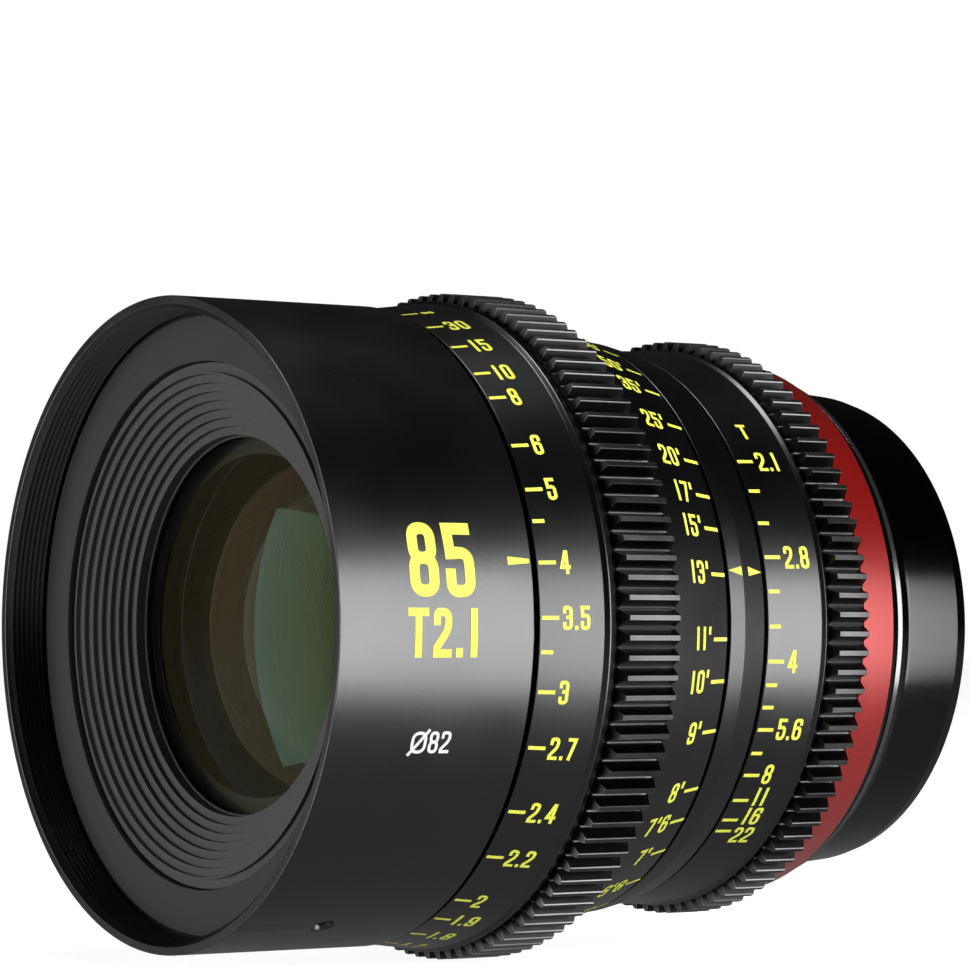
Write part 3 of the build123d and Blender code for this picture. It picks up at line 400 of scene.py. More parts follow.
# %% Trim ring and stepped baffle
TRIM_BORE = 34.3
turned(
    "trim_ring",
    [
        (TRIM_FRONT, TRIM_BORE, 0.15),
        (TRIM_FRONT, TRIM_SEAT - 0.05, 0.1),
        (TRIM_BACK, TRIM_SEAT - 0.05),
        (TRIM_BACK, TRIM_BORE),
    ],
    "barrel", trim_black, ["front_ring"],
)
BAFFLE_FRONT, BAFFLE_BACK = ends("front_baffle")
STEPS, STEP_WIDTH, STEP_DEPTH, FIRST_STEP = 7, 1.1, 0.71, 32.6
LAST_STEP = FIRST_STEP - STEPS * STEP_WIDTH
FIRST_FLAT, RIM_DEPTH, SHELF = 0.3, 0.6, 0.22
funnel = [(BAFFLE_FRONT, FIRST_STEP + FIRST_FLAT, 0.02)]
for step in range(STEPS + 1):
    radius = FIRST_STEP - step * STEP_WIDTH
    place = BAFFLE_FRONT + step * STEP_DEPTH
    funnel.append((place, radius, 0.06))
    if step < STEPS:
        funnel.append((place + STEP_DEPTH, radius, 0.02))
funnel.append((BAFFLE_BACK - 0.35, LAST_STEP, 0.02))
funnel.append((BAFFLE_BACK - 0.25, LAST_STEP - SHELF, 0.05))
turned(
    "stepped_baffle",
    [
        (BAFFLE_BACK - 4.0, 33.4),
        (BAFFLE_FRONT + RIM_DEPTH, 34.2),
        (BAFFLE_FRONT + RIM_DEPTH, FIRST_STEP + FIRST_FLAT),
        *funnel,
        (BAFFLE_BACK, LAST_STEP - SHELF),
        (BAFFLE_BACK, 33.4),
    ],
    "barrel", matt, ["front_baffle"],
)

# %% [markdown]
# Both scale rings of the lens end in gears of 0.8 module, which a follow-focus motor drives. A tooth has
# straight flanks at 20 degrees and bevelled ends. Each row of points along the axis has its own tip
# radius, which grows over the bevel, and the flank's half width at a radius gives the rest. A mask
# brightens a tooth's tip and its corners, which are rubbed wear with a painted highlight, and the line
# where its flank meets the gap, which is a painted highlight.

# %% Gear teeth
MODULE = 0.8
PRESSURE = radians(20)
TOOTH_BEVEL = 0.5


def gear(name, teeth, gap_angle, front, back, body):
    """A band of teeth. At radius r a tooth is 2 asin((pi m / 4 - (r - r_pitch) tan 20) / r) wide."""
    pitch = MODULE * teeth / 2
    tip, root = pitch + MODULE, pitch - MODULE * 1.25
    place = front + np.array([0, 0.12, 1, 1.25]) * TOOTH_BEVEL
    place = np.concatenate((place, (front + back) - place[::-1]))
    limit = root + (tip - root) * np.array([0, 0.2, 0.985, 1, 1, 0.985, 0.2, 0])
    # Half a tooth, from the gap to the tip: share of its height, share of the half width, and the mask of
    # wear and painted highlight.
    share = np.array([0, 0, 0.05, 0.13, 0.5, 0.9, 0.95, 1, 1])
    wide = np.array([1.5, 1.2, 1.06, 1, 1, 1, 1, 0.88, 0.7])
    wear_and_highlight = np.array([0, 0, 0.8, 0, 0, 0, 0.8, 1, 0.45])
    share, wear_and_highlight = np.append(share, share[::-1]), np.append(wear_and_highlight, wear_and_highlight[::-1])
    wide = np.append(wide, -wide[::-1])
    r = root + (limit[:, None] - root) * share[None, :]
    half = np.arcsin((pi * MODULE / 4 - (r - pitch) * tan(PRESSURE)) / r)
    middle = np.radians(gap_angle) + (np.arange(teeth) + 0.5) * 2 * pi / teeth
    t = middle[None, :, None] - (half * wide[None, :])[:, None, :]
    points = swept(r[:, None, :], RIM + place[:, None, None], t)
    edge = np.broadcast_to(wear_and_highlight[None, None, :] * (limit > root + 1)[:, None, None], t.shape).reshape(-1)
    faces = grid_faces(len(place), teeth * len(share), wrap_rows=False)
    return new_piece(name, points, faces, body, gear_shade_and_highlight, edge=edge, sharp=32)


# %% [markdown]
# The focus ring is one turned part with two scales and a gear between them. The metre scale widens
# towards a rounded lip, and the scale in feet tapers down behind the gear.

# %% Focus ring
FOCUS_FRONT, FOCUS_BACK = ends("focus_ring")
FOCUS_LIP = FOCUS_FRONT + 9.3
FOCUS_GEAR = FOCUS_LIP + 2.4
FEET_FRONT = FOCUS_GEAR + 9.04
FOCUS_TEETH, FOCUS_GAP = 110, 76.96
FOCUS_ROOT = MODULE * (FOCUS_TEETH / 2 - 1.25)
METRES = [(FOCUS_FRONT, 42.12), (FOCUS_LIP, 43.29)]
FEET = [(FEET_FRONT + 0.3, 42.6), (FOCUS_BACK, 39.83)]
turned(
    "focus_grip",
    [
        (FOCUS_FRONT, 35.9),
        (FOCUS_FRONT, METRES[0][1], 0.15),
        (*METRES[1], 0.3),
        (FOCUS_LIP + 0.6, 43.75, 0.35),
        (FOCUS_LIP + 1.7, 43.34, 0.2),
        (FOCUS_GEAR - 0.05, FOCUS_ROOT - 0.08),
        (FEET_FRONT + 0.05, FOCUS_ROOT - 0.08),
        (*FEET[0], 0.2),
        (*FEET[1], 0.15),
        (FOCUS_BACK, 38.55),
        (FOCUS_FRONT + 2.0, 38.55),
        (FOCUS_FRONT + 2.0, 35.9),
    ],
    "focus_ring", black, ["focus_ring"],
)
gear("focus_gear_teeth", FOCUS_TEETH, FOCUS_GAP, FOCUS_GEAR, FEET_FRONT, "focus_ring")

# %% [markdown]
# The index ring stands still between the two scales, and the iris ring follows. Both rest on the main
# tube. The dark lines between the rings are low-friction washers a little smaller than the rings.

# %% Index ring, iris ring and washers
INDEX_FRONT, INDEX_BACK = ends("index_ring")
INDEX_STEP = INDEX_FRONT + 0.4 * (INDEX_BACK - INDEX_FRONT)
INDEX = [(INDEX_FRONT, 39.65), (INDEX_STEP, 39.38), (INDEX_BACK, 38.53)]
turned(
    "index_band",
    [
        (INDEX_FRONT, TUBE_SEAT),
        (*INDEX[0], 0.15),
        (*INDEX[1], 0.6),
        (*INDEX[2], 0.15),
        (INDEX_BACK, TUBE_SEAT),
    ],
    "barrel", black, ["index_ring"],
)
IRIS_FRONT, IRIS_BACK = ends("iris_ring")
IRIS_LIP = IRIS_FRONT + 8.87
IRIS_GEAR = IRIS_LIP + 1.57
IRIS_TEETH, IRIS_GAP = 98, 78.2
IRIS_ROOT = MODULE * (IRIS_TEETH / 2 - 1.25)
STOPS = [(IRIS_FRONT, 38.28), (IRIS_LIP, 38.61)]
turned(
    "iris_grip",
    [
        (IRIS_FRONT, 35.56),
        (*STOPS[0], 0.15),
        (*STOPS[1], 0.3),
        (IRIS_LIP + 0.6, 38.9, 0.12),
        (IRIS_LIP + 1.33, 38.47, 0.1),
        (IRIS_GEAR - 0.05, IRIS_ROOT - 0.08),
        (IRIS_BACK, IRIS_ROOT - 0.08),
        (IRIS_BACK, 35.56),
    ],
    "iris_ring", black, ["iris_ring"],
)
gear("iris_gear_teeth", IRIS_TEETH, IRIS_GAP, IRIS_GEAR, IRIS_BACK, "iris_ring")
for node, radius in (("focus_front_washer", 39.55), ("focus_rear_washer", 37.75), ("iris_washer", 37.75)):
    front, back = ends(node)
    turned(
        node.replace("washer", "slip_ring"),
        [(front, TUBE_SEAT), (front, radius), (back, radius), (back, TUBE_SEAT)],
        "barrel", washer, [node],
    )

# %% [markdown]
# The red ring is a separate anodised part. Behind it the rear barrel shows, in turn, a narrow band, a
# groove, a thin bright strip, a hollow neck and a polished cylinder that ends in a short taper.

# %% Red ring and rear barrel
RED_FRONT, RED_BACK = ends("red_ring")
turned(
    "red_accent_ring",
    [(RED_FRONT, TUBE_SEAT), (RED_FRONT, 38.2, 0.12), (RED_BACK, 37.39, 0.12), (RED_BACK, TUBE_SEAT)],
    "barrel", red, ["red_ring"],
)
REAR_FRONT, REAR_BACK = ends("rear_barrel")
NECK_FRONT, NECK_BACK = REAR_FRONT + 2.57, REAR_FRONT + 5.97
NECK_TOP, NECK_BOTTOM = 36.3, 34.15
neck = []
for part in (0.15, 0.32, 0.5, 0.68, 0.85):
    place = NECK_FRONT + part * (NECK_BACK - NECK_FRONT)
    neck.append((place, NECK_BOTTOM + (NECK_TOP - NECK_BOTTOM) * (1 - part) ** 2.2, 0.5))
turned(
    "rear_body",
    [
        (REAR_FRONT, TUBE_SEAT),
        (REAR_FRONT, 36.95, 0.1),
        (REAR_FRONT + 1.33, 36.48, 0.1),
        (REAR_FRONT + 1.33, 35.95),
        (REAR_FRONT + 1.69, 35.95),
        (REAR_FRONT + 1.69, NECK_TOP, 0.05),
        (NECK_FRONT, NECK_TOP, 0.1),
        *neck,
        (NECK_BACK, NECK_BOTTOM, 0.2),
        (REAR_BACK - 1.85, 33.4, 0.3),
        (REAR_BACK, 32.9, 0.15),
        (REAR_BACK, 31.55),
        (REAR_BACK - 1.6, 31.55),
        (REAR_BACK - 1.6, 28.0),
        (REAR_FRONT + 0.96, 28.0),
        (REAR_FRONT + 0.96, TUBE_SEAT),
    ],
    "barrel", gloss, ["rear_barrel"],
)
turned(
    "rear_bright_line",
    [
        (REAR_FRONT + 1.74, NECK_TOP - 0.2),
        (REAR_FRONT + 1.74, NECK_TOP + 0.012, 0.01),
        (NECK_FRONT - 0.1, NECK_TOP + 0.012, 0.01),
        (NECK_FRONT - 0.1, NECK_TOP - 0.2),
    ],
    "barrel", bright,
)

# %% [markdown]
# The bayonet is steel, and its screws sit in round pockets in the flange. The pockets are cut here with
# a boolean, as a milling cutter would cut them, and each lug is a part turn of its own small section.

# %% Mount plate
FLANGE_FRONT, MOUNT_BACK = ends("mount_plate")
FLANGE_BACK = -RIM
SPIGOT, SPIGOT_BORE, LUG, FLANGE = 25.4, 22.5, 26.9, 31.5
SCREW_CIRCLE, SCREW_ANGLES = 29.4, (45, 135, 225, 315)
POCKET_RADIUS, POCKET_DEPTH = 1.55, 1.0
PIN_ANGLE, PIN_RADIUS, PIN_DEPTH = 100, 1.1, 1.8
LUG_TURNS = ((10, 66), (130, 180), (250, 294))
LUG_THICK, LUG_SINK = 1.4, 0.1


def on_circle(radius, angle, s):
    """The point at an angle from +Z towards +X, in metres."""
    return Vector((radius * sin(radians(angle)), RIM + s, radius * cos(radians(angle)))) * MM


def cut(piece, tools, sharp=30):
    """Cut closed tools out of a piece, keep the result as its mesh and delete the tools."""
    for tool in tools:
        step = piece.modifiers.new("cut", "BOOLEAN")
        step.object = tool
        step.solver = "EXACT"
    bpy.context.view_layer.update()
    shaped = piece.evaluated_get(bpy.context.evaluated_depsgraph_get())
    mesh = bpy.data.meshes.new_from_object(shaped)
    piece.modifiers.clear()
    old, piece.data = piece.data, mesh
    bpy.data.meshes.remove(old)
    mesh.polygons.foreach_set("use_smooth", np.ones(len(mesh.polygons), bool))
    mesh.set_sharp_from_angle(angle=radians(sharp))
    for tool in tools:
        bpy.data.objects.remove(tool)
    print("cut", piece.name, "to", len(mesh.polygons), "faces")


def drill(outline, place, direction, segments=48):
    """A cutting tool from (depth, radius) pairs, turned about a direction that leads into the metal."""
    depth = np.array([d for d, r in outline])[:, None]
    radius = np.array([r for d, r in outline])[:, None]
    t = np.linspace(0, 2 * pi, segments, endpoint=False)[None, :]
    points = np.stack((radius * np.cos(t), radius * np.sin(t), depth + 0 * t), -1).reshape(-1, 3) * MM
    last = len(points) - segments
    faces = grid_faces(len(outline), segments, wrap_rows=False)[:, ::-1].tolist()
    faces.append(list(range(segments))[::-1])
    faces.append(list(range(last, last + segments)))
    mesh = bpy.data.meshes.new("drill")
    mesh.from_pydata(points.tolist(), [], faces)
    tool = in_scene("drill", mesh)
    turn = Vector(direction).to_track_quat("Z", "Y").to_matrix().to_4x4()
    tool.matrix_world = Matrix.Translation(place) @ turn
    return tool


plate = turned(
    "bayonet_plate",
    [
        (FLANGE_FRONT, SPIGOT_BORE),
        (FLANGE_FRONT, FLANGE),
        (FLANGE_BACK, FLANGE, 0.2),
        (FLANGE_BACK, 27.3, 0.1),
        (FLANGE_BACK - 0.6, 27.3),
        (FLANGE_BACK - 0.6, SPIGOT),
        (MOUNT_BACK, SPIGOT, 0.15),
        (MOUNT_BACK, SPIGOT_BORE, 0.15),
    ],
    "barrel", steel, ["mount_plate"],
)
pocket_places = [(angle, POCKET_RADIUS, POCKET_DEPTH) for angle in SCREW_ANGLES]
pocket_places.append((PIN_ANGLE, PIN_RADIUS, PIN_DEPTH))
cut(plate, [
    drill([(-1, radius), (depth, radius)], on_circle(SCREW_CIRCLE, angle, FLANGE_BACK), (0, -1, 0))
    for angle, radius, depth in pocket_places
])

root, front = SPIGOT - LUG_SINK, MOUNT_BACK - LUG_THICK
flat = rounded([(root, front), (LUG, front), (LUG, MOUNT_BACK), (root, MOUNT_BACK)], 0.15)[0]
for number, (start, stop) in enumerate(LUG_TURNS, 1):
    t = np.radians(np.linspace(start, stop, 40))[None, :]
    band = swept(flat[:, :1], RIM + flat[:, 1:], t).reshape(len(flat), -1, 3)
    middle = np.broadcast_to(band.mean(0, keepdims=True), band.shape)
    shut = np.concatenate((middle[:, :1], band, middle[:, -1:]), 1)
    new_piece(
        f"bayonet_lug_{number}", shut.reshape(-1, 3),
        grid_faces(len(flat), shut.shape[1], wrap_columns=False),
        "barrel", steel, sharp=35,
    )

# %% [markdown]
# Two grub screws lock the barrel, and each sits at the bottom of a countersunk hole. The holes are
# drilled into the sleeve now that the drill exists.

# %% Grub screw holes
GRUB_PLACE, GRUB_RADIUS, GRUB_ANGLES = 13.1, 1.24, (153.8, 333.8)
COUNTERSINK = [(-1, 2.6), (0.02, 1.6), (0.36, GRUB_RADIUS), (4.9, GRUB_RADIUS)]
holes = []
for angle in GRUB_ANGLES:
    inward = -Vector((sin(radians(angle)), 0, cos(radians(angle))))
    holes.append(drill(COUNTERSINK, on_circle(FRONT_RADIUS, angle, GRUB_PLACE), inward))
cut(barrel, holes)

# %% [markdown]
# The rear baffle shows in the spigot's mouth, so it is turned again with a bevelled opening. The rest of
# the hidden pieces keep their construction meshes and get a finish.

# %% Rear baffle and the pieces inside
BACK_PLATE_FRONT, BACK_PLATE_BACK = ends("rear_baffle")
turned(
    "rear_light_stop",
    [
        (BACK_PLATE_FRONT, 18.0, 0.05),
        (BACK_PLATE_FRONT, SPIGOT_BORE - 0.05),
        (BACK_PLATE_BACK, SPIGOT_BORE - 0.05),
        (BACK_PLATE_BACK - 0.4, 20.2, 0.3),
        (BACK_PLATE_BACK - 0.7, 18.0, 0.1),
    ],
    "barrel", matt, ["rear_baffle"],
)
PLAIN = {
    "screw_steel": screws,
    "inner_aluminium": inner,
    "matt_black": matt,
    "blade_steel": blades,
    "index_paint": dot_paint,
    "washer_plastic": washer,
}
slots = {part["node"]: part["material_slot"] for part in frame["record"]["subparts"]}
for node, slot in slots.items():
    if slot in PLAIN:
        solid = frame["nodes"][node]
        solid.data.materials.clear()
        solid.data.materials.append(PLAIN[slot])
print("finished in place:", sum(slot in PLAIN for slot in slots.values()), "nodes")

# %% [markdown]
# Lens elements are ground to spheres and coated. Each visible surface here is a true sphere of the
# construction's radius, closed by a ground edge, and the coating is a thin film that tints reflections
# green and amber. The ground edge is blackened with ink, as lens makers do to stop stray light.

# %% Glass
GLASS_INDEX, FILM_INDEX, GREEN_FILM, AMBER_FILM = 1.5, 1.38, 430, 330
REFLECTION_TINT, HAZE_SCALE = (0.32, 0.30, 0.27), 30


def glass_material(name, tint, film):
    """Clear glass under a thin coating of so many nanometres."""
    material, nodes, link, shader = new_material(name)
    set_inputs(shader, {
        "Roughness": 0.0, "IOR": GLASS_INDEX, "Transmission Weight": 1.0,
        "Specular Tint": (*REFLECTION_TINT, 1), "Thin Film Thickness": film, "Thin Film IOR": FILM_INDEX,
    })
    where = add_node(nodes, "TexCoord")
    haze = add_node(nodes, "TexNoise", {"Scale": HAZE_SCALE})
    hazed = tuple(0.97 * c for c in tint)
    shade = add_node(nodes, "Mix", {"A": (*tint, 1), "B": (*hazed, 1)}, data_type="RGBA")
    join(
        link,
        (where, "Object", haze, "Vector"),
        (haze, "Fac", shade, "Factor"),
        (shade, "Result", shader, "Base Color"),
    )
    return material


coated = glass_material("coated_glass", (0.91, 0.93, 0.88), GREEN_FILM)
coated_amber = glass_material("coated_glass_amber", (0.95, 0.92, 0.82), AMBER_FILM)


def element(name, node, clear, bulge_front, bulge_back, body, material, rings=40, segments=192, bevel=0.3):
    """A lens element between two spheres. A surface that rises h over a clear radius c is part of a
    sphere of radius R = (c * c + h * h) / 2h, so its sag at r is h - R + sqrt(R * R - r * r)."""
    low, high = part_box(node)
    edge = high.x / MM
    front, back = low.y / MM - RIM, high.y / MM - RIM
    r = clear * np.sin(np.linspace(0, pi / 2, rings))

    def sag(rise):
        ball = (clear * clear + rise * rise) / (2 * abs(rise))
        return np.sign(rise) * (abs(rise) - ball + np.sqrt(ball * ball - r * r))

    def lean(rise):
        ball = (clear * clear + rise * rise) / (2 * abs(rise))
        return np.sign(rise) * r / np.sqrt(ball * ball - r * r)

    flat_front, flat_back = front + max(bulge_front, 0), back - max(bulge_back, 0)
    s = [flat_front - sag(bulge_front), [flat_front] * 2, [flat_front + bevel, flat_back - bevel]]
    s = np.concatenate((*s, [flat_back] * 2, (flat_back + sag(bulge_back))[::-1]))
    rows = [r, [clear + bevel / 10, edge - bevel], [edge, edge], [edge - bevel, clear + bevel / 10], r[::-1]]
    out = [lean(bulge_front), [0, 0], [1, 1], [0, 0], lean(bulge_back)[::-1]]
    along = np.concatenate((-np.ones(rings + 2), [0, 0], np.ones(rings + 2)))
    radius, out = np.concatenate(rows)[:, None], np.concatenate(out)[:, None]
    t = np.linspace(0, 2 * pi, segments, endpoint=False)[None, :]
    points, normals = swept(radius, RIM + s[:, None], t), swept(out, along[:, None], t)
    normals /= np.linalg.norm(normals, axis=1)[:, None]
    faces = grid_faces(len(radius), segments, wrap_rows=False)
    piece = new_piece(name, points, faces, body, material, [node], normals)
    piece.data.materials.append(matt)
    row = np.arange(len(faces)) // segments
    piece.data.polygons.foreach_set("material_index", ((row >= rings) & (row < rings + 5)).astype(np.int32))
    return piece


element("front_glass", "front_element", 25.4, 5.2, -2.2, "barrel", coated)
element("second_glass", "second_element", 21.5, 3.6, -6.1, "barrel", coated_amber)
element("carrier_front_glass", "carrier_front_element", 21.5, 3.2, -2.4, "focus_carrier", coated)
element("carrier_rear_glass", "carrier_rear_element", 19.5, -4.1, 5.1, "focus_carrier", coated_amber)
element("rear_inner_glass", "rear_inner_element", 16.5, -2.3, 5.6, "barrel", coated)
element("rear_glass", "rear_element", 17.5, 3.4, 2.2, "barrel", coated_amber)

# %% [markdown]
# The scales are engraved and filled with paint. Their narrow digits have strokes of one even width with
# square ends, so each character is drawn here as paths: whether the path closes, a few corners in a unit
# box, and how round each corner is. The number before the paths is the character's width.

# %% Characters as paths
GLYPHS = {
    "0": (0.5, [(1, [(0, 0, 0.5), (1, 0, 0.5), (1, 1, 0.5), (0, 1, 0.5)])]),
    "1": (0.17, [(0, [(0.5, 1, 0), (0.5, 0, 0)])]),
    "2": (0.5, [(0, [
        (0, 0.78, 0), (0, 1, 0.5), (1, 1, 0.5), (1, 0.6, 0.4), (0, 0.14, 0), (0, 0, 0), (1, 0, 0)
    ])]),
    "3": (0.5, [
        (0, [(0, 0.8, 0), (0, 1, 0.5), (1, 1, 0.5), (1, 0.53, 0.4), (0.45, 0.53, 0)]),
        (0, [(0.45, 0.53, 0), (1, 0.53, 0.4), (1, 0, 0.5), (0, 0, 0.5), (0, 0.2, 0)]),
    ]),
    "4": (0.55, [(0, [(0.74, 0, 0), (0.74, 1, 0)]), (0, [(0.6, 1, 0), (0, 0.26, 0), (1, 0.26, 0)])]),
    "5": (0.5, [
        (0, [(0.95, 1, 0), (0, 1, 0), (0.05, 0.6, 0)]),
        (0, [(0.05, 0.61, 0), (1, 0.61, 0.5), (1, 0, 0.5), (0, 0, 0.5), (0, 0.26, 0)]),
    ]),
    "6": (0.5, [(0, [
        (1, 0.8, 0), (1, 1, 0.5), (0, 1, 0.5), (0, 0, 0.5), (1, 0, 0.5), (1, 0.58, 0.5), (0.05, 0.58, 0)
    ])]),
    "7": (0.48, [(0, [(0, 1, 0), (1, 1, 0), (0.36, 0, 0)])]),
    "8": (0.5, [
        (1, [(0, 0, 0.5), (1, 0, 0.5), (1, 0.52, 0.4), (0, 0.52, 0.4)]),
        (1, [(0.03, 0.52, 0.4), (0.97, 0.52, 0.4), (0.97, 1, 0.5), (0.03, 1, 0.5)]),
    ]),
    "9": (0.5, [(0, [
        (0, 0.2, 0), (0, 0, 0.5), (1, 0, 0.5), (1, 1, 0.5), (0, 1, 0.5), (0, 0.42, 0.5), (0.95, 0.42, 0)
    ])]),
    ".": (0, [(0, [(0.5, 0, 0), (0.5, 0.03, 0)])]),
    "'": (0.2, [(0, [(0.7, 1, 0), (0.3, 0.78, 0)])]),
    "T": (0.56, [(0, [(0, 1, 0), (1, 1, 0)]), (0, [(0.5, 1, 0), (0.5, 0, 0)])]),
    "ø": (0.8, [
        (1, [(0, 0, 0.5), (1, 0, 0.5), (1, 1, 0.5), (0, 1, 0.5)]),
        (0, [(-0.15, -0.12, 0), (1.15, 1.12, 0)]),
    ]),
    "∞": (0.95, [(1, [
        (0, 0.2, 0.3), (0.5, 0.5, 0.05), (1, 0.8, 0.3), (1, 0.2, 0.3), (0.5, 0.5, 0.05), (0, 0.8, 0.3)
    ])]),
}
SPACE = 0.11
FILL_STEP, FILL_CLEAR = 1.0, 0.55


def path_of(corners, closed, size, line):
    """Corner points in mm with each corner replaced by the curve (1 - t)^2 a + 2 t (1 - t) p + t^2 b,
    which leaves the corner p's two edges at a and b; then points every 1 mm, so that the path can bend
    round a ring, but none close to a corner. An open path is longer by half a line at each end."""
    width, height = size
    p = np.array([(x * (width - line) + line / 2, y * (height - line) + line / 2) for x, y, r in corners])
    reach = np.array([r for x, y, r in corners]) * width
    into = p - np.roll(p, 1, 0)
    onward = np.roll(p, -1, 0) - p
    a_length = np.maximum(np.linalg.norm(into, axis=1), 1e-6)
    b_length = np.maximum(np.linalg.norm(onward, axis=1), 1e-6)
    d = np.minimum(reach, 0.5 * np.minimum(a_length, b_length))[:, None]
    a, b = p - into / a_length[:, None] * d, p + onward / b_length[:, None] * d
    t = np.linspace(0, 1, 9)[None, :, None]
    curve = (1 - t) ** 2 * a[:, None] + 2 * t * (1 - t) * p[:, None] + t**2 * b[:, None]
    if not closed:
        ends_out = line / 2 * np.array([-onward[0] / b_length[0], into[-1] / a_length[-1]])
        curve[0], curve[-1] = p[0] + ends_out[0], p[-1] + ends_out[1]
    points = curve.reshape(-1, 2)
    if closed:
        points = np.vstack((points, points[:1]))
    step = np.linalg.norm(np.diff(points, axis=0), axis=1)
    points = points[np.concatenate(([True], step > 1e-6))]
    along = np.concatenate(([0], np.cumsum(np.linalg.norm(np.diff(points, axis=0), axis=1))))
    fill = np.linspace(0, along[-1], max(2, int(along[-1] / FILL_STEP) + 1))
    fill = fill[np.min(np.abs(fill[:, None] - along[None, :]), 1) > FILL_CLEAR * line]
    stops = np.unique(np.round(np.concatenate((along, fill)), 5))
    return np.column_stack([np.interp(stops, along, points[:, k]) for k in (0, 1)])


def ribbon(points, width, closed=False):
    """A strip of even width along a path, with mitred turns and square ends."""
    along = np.diff(points, axis=0)
    along = along / np.linalg.norm(along, axis=1)[:, None]
    before = np.vstack((along[-1:] if closed else along[:1], along))
    after = np.vstack((along, along[:1] if closed else along[-1:]))
    side = before + after
    side = side / np.maximum(np.linalg.norm(side, axis=1), 1e-6)[:, None]
    side = np.column_stack((-side[:, 1], side[:, 0]))
    square = np.column_stack((-after[:, 1], after[:, 0]))
    stretch = np.minimum(1 / np.maximum(np.sum(side * square, 1), 0.3), 2.2)[:, None]
    half = side * stretch * width / 2
    left, right = points + half, points - half
    n = len(left)
    i = np.arange(n - 1)
    return np.vstack((left, right)), np.column_stack((n + i, n + i + 1, i + 1, i))


print("characters:", "".join(GLYPHS))

# %% [markdown]
# Each ring collects its own marks, because they turn with it. A mark is laid out flat, as on a drawing
# of the unrolled ring, with its own X along the lens and its own Y up the scale, and is then wrapped on
# the ring's slope, a hundredth of a millimetre proud like a filled engraving. Paint as thin as this has
# no shadow that could be seen, so the marks cast none.

# %% Marks on a ring
PAINT = 0.012
NUMBER, LINE, TICK = 3.05, 0.47, 0.50


class Marks:
    """Flat marks for one slope, given as (s, radius) corners, which are wrapped round it."""

    def __init__(self, slope):
        self.s, self.r = zip(*slope)
        self.points, self.faces, self.count = [], [], 0

    def add(self, flat, faces, s, angle):
        """The point (u, v) goes to s + u along the lens and to the angle less v / radius."""
        place = s + flat[:, 0]
        r = np.interp(place, self.s, self.r) + PAINT
        t = radians(angle) - flat[:, 1] / r
        self.points.append(swept(r, RIM + place, t))
        self.faces.append(faces + self.count)
        self.count += len(flat)

    def wedge(self, start, stop, half_start, half_stop, angle):
        """A bar or an arrow along the lens, from one half width to the other."""
        u = np.linspace(0, stop - start, 5)
        v = np.interp(u, (0, stop - start), (half_start, half_stop))
        i = np.arange(4)
        flat = np.vstack((np.column_stack((u, v)), np.column_stack((u, -v))))
        self.add(flat, np.column_stack((5 + i, 6 + i, i + 1, i)), start, angle)

    def tick(self, start, length, angle):
        self.wedge(start, start + length, TICK / 2, TICK / 2, angle)

    def text(self, words, s, angle, height=NUMBER, line=LINE, share=0, wide=1.0):
        """Words whose middle line lies at the angle. `share` says which part of them lies before s."""
        widths = [GLYPHS[c][0] * height * wide + line * (GLYPHS[c][0] < 0.2) for c in words]
        total = sum(widths) + SPACE * height * (len(words) - 1)
        u = -share * total
        for character, width in zip(words, widths):
            for closed, corners in GLYPHS[character][1]:
                flat, faces = ribbon(path_of(corners, closed, (width, height), line), line, closed)
                self.add(flat + (u, -height / 2), faces, s, angle)
            u += width + SPACE * height

    def piece(self, name, body, slot, material):
        points = np.vstack(self.points)
        out = points * (1, 0, 1)
        out /= np.linalg.norm(out, axis=1)[:, None]
        piece = new_piece(name, points, np.vstack(self.faces), body, material, normals=out)
        piece.visible_shadow = False
        return piece


# %% [markdown]
# The focus scale isn't evenly spaced. A helix moves the glass by an amount that goes with f * f / (u - f)
# for a subject at the distance u, so a mark's angle from infinity does too. The gauge below was fitted to
# the marks seen in the photograph, and it also places the ones on the far side of the ring.

# %% The two focus scales
FOCAL = 85.0
METRE_GAUGE = (14.57, 34.91)
FEET_GAUGE = (15.87, 34.49)


def distance_angle(millimetres, gauge):
    """Angle of a mark; the gauge is the angle of infinity and the turn for each unit of f * f / (u - f)."""
    far_angle, rate = gauge
    return far_angle + rate * FOCAL**2 / (millimetres - FOCAL)


metre_marks = Marks(METRES)
METRE_TICK, METRE_LONG, METRE_SHORT = FOCUS_FRONT + 0.34, 2.45, 1.7
METRE_NUMBER = METRE_TICK + 3.0
NUMBERED_METRES = (
    30, 15, 10, 8, 6, 5, 4, 3.5, 3, 2.7, 2.4, 2.2, 2,
    1.9, 1.8, 1.7, 1.6, 1.5, 1.4, 1.3, 1.2, 1.1, 1, 0.9, 0.85,
)
NUMBERED_FEET = (100, 50, 35, 25, 20, 17, 15, 13, 11, 10, 9, 8, 7, 6, 5, 4.5, 4, 3.5, 3)
for metres in NUMBERED_METRES:
    angle = distance_angle(metres * 1000, METRE_GAUGE)
    metre_marks.tick(METRE_TICK, METRE_LONG, angle)
    metre_marks.text(f"{metres:g}", METRE_NUMBER, angle, wide=0.9)
for metres in (4.5, 3.25, 0.95):
    metre_marks.tick(METRE_TICK, METRE_SHORT, distance_angle(metres * 1000, METRE_GAUGE))
metre_marks.tick(METRE_TICK, METRE_LONG, METRE_GAUGE[0])
metre_marks.text("∞", METRE_NUMBER, METRE_GAUGE[0], height=2.0)
metre_marks.piece("metre_scale", "focus_ring", "black_anodised", yellow)

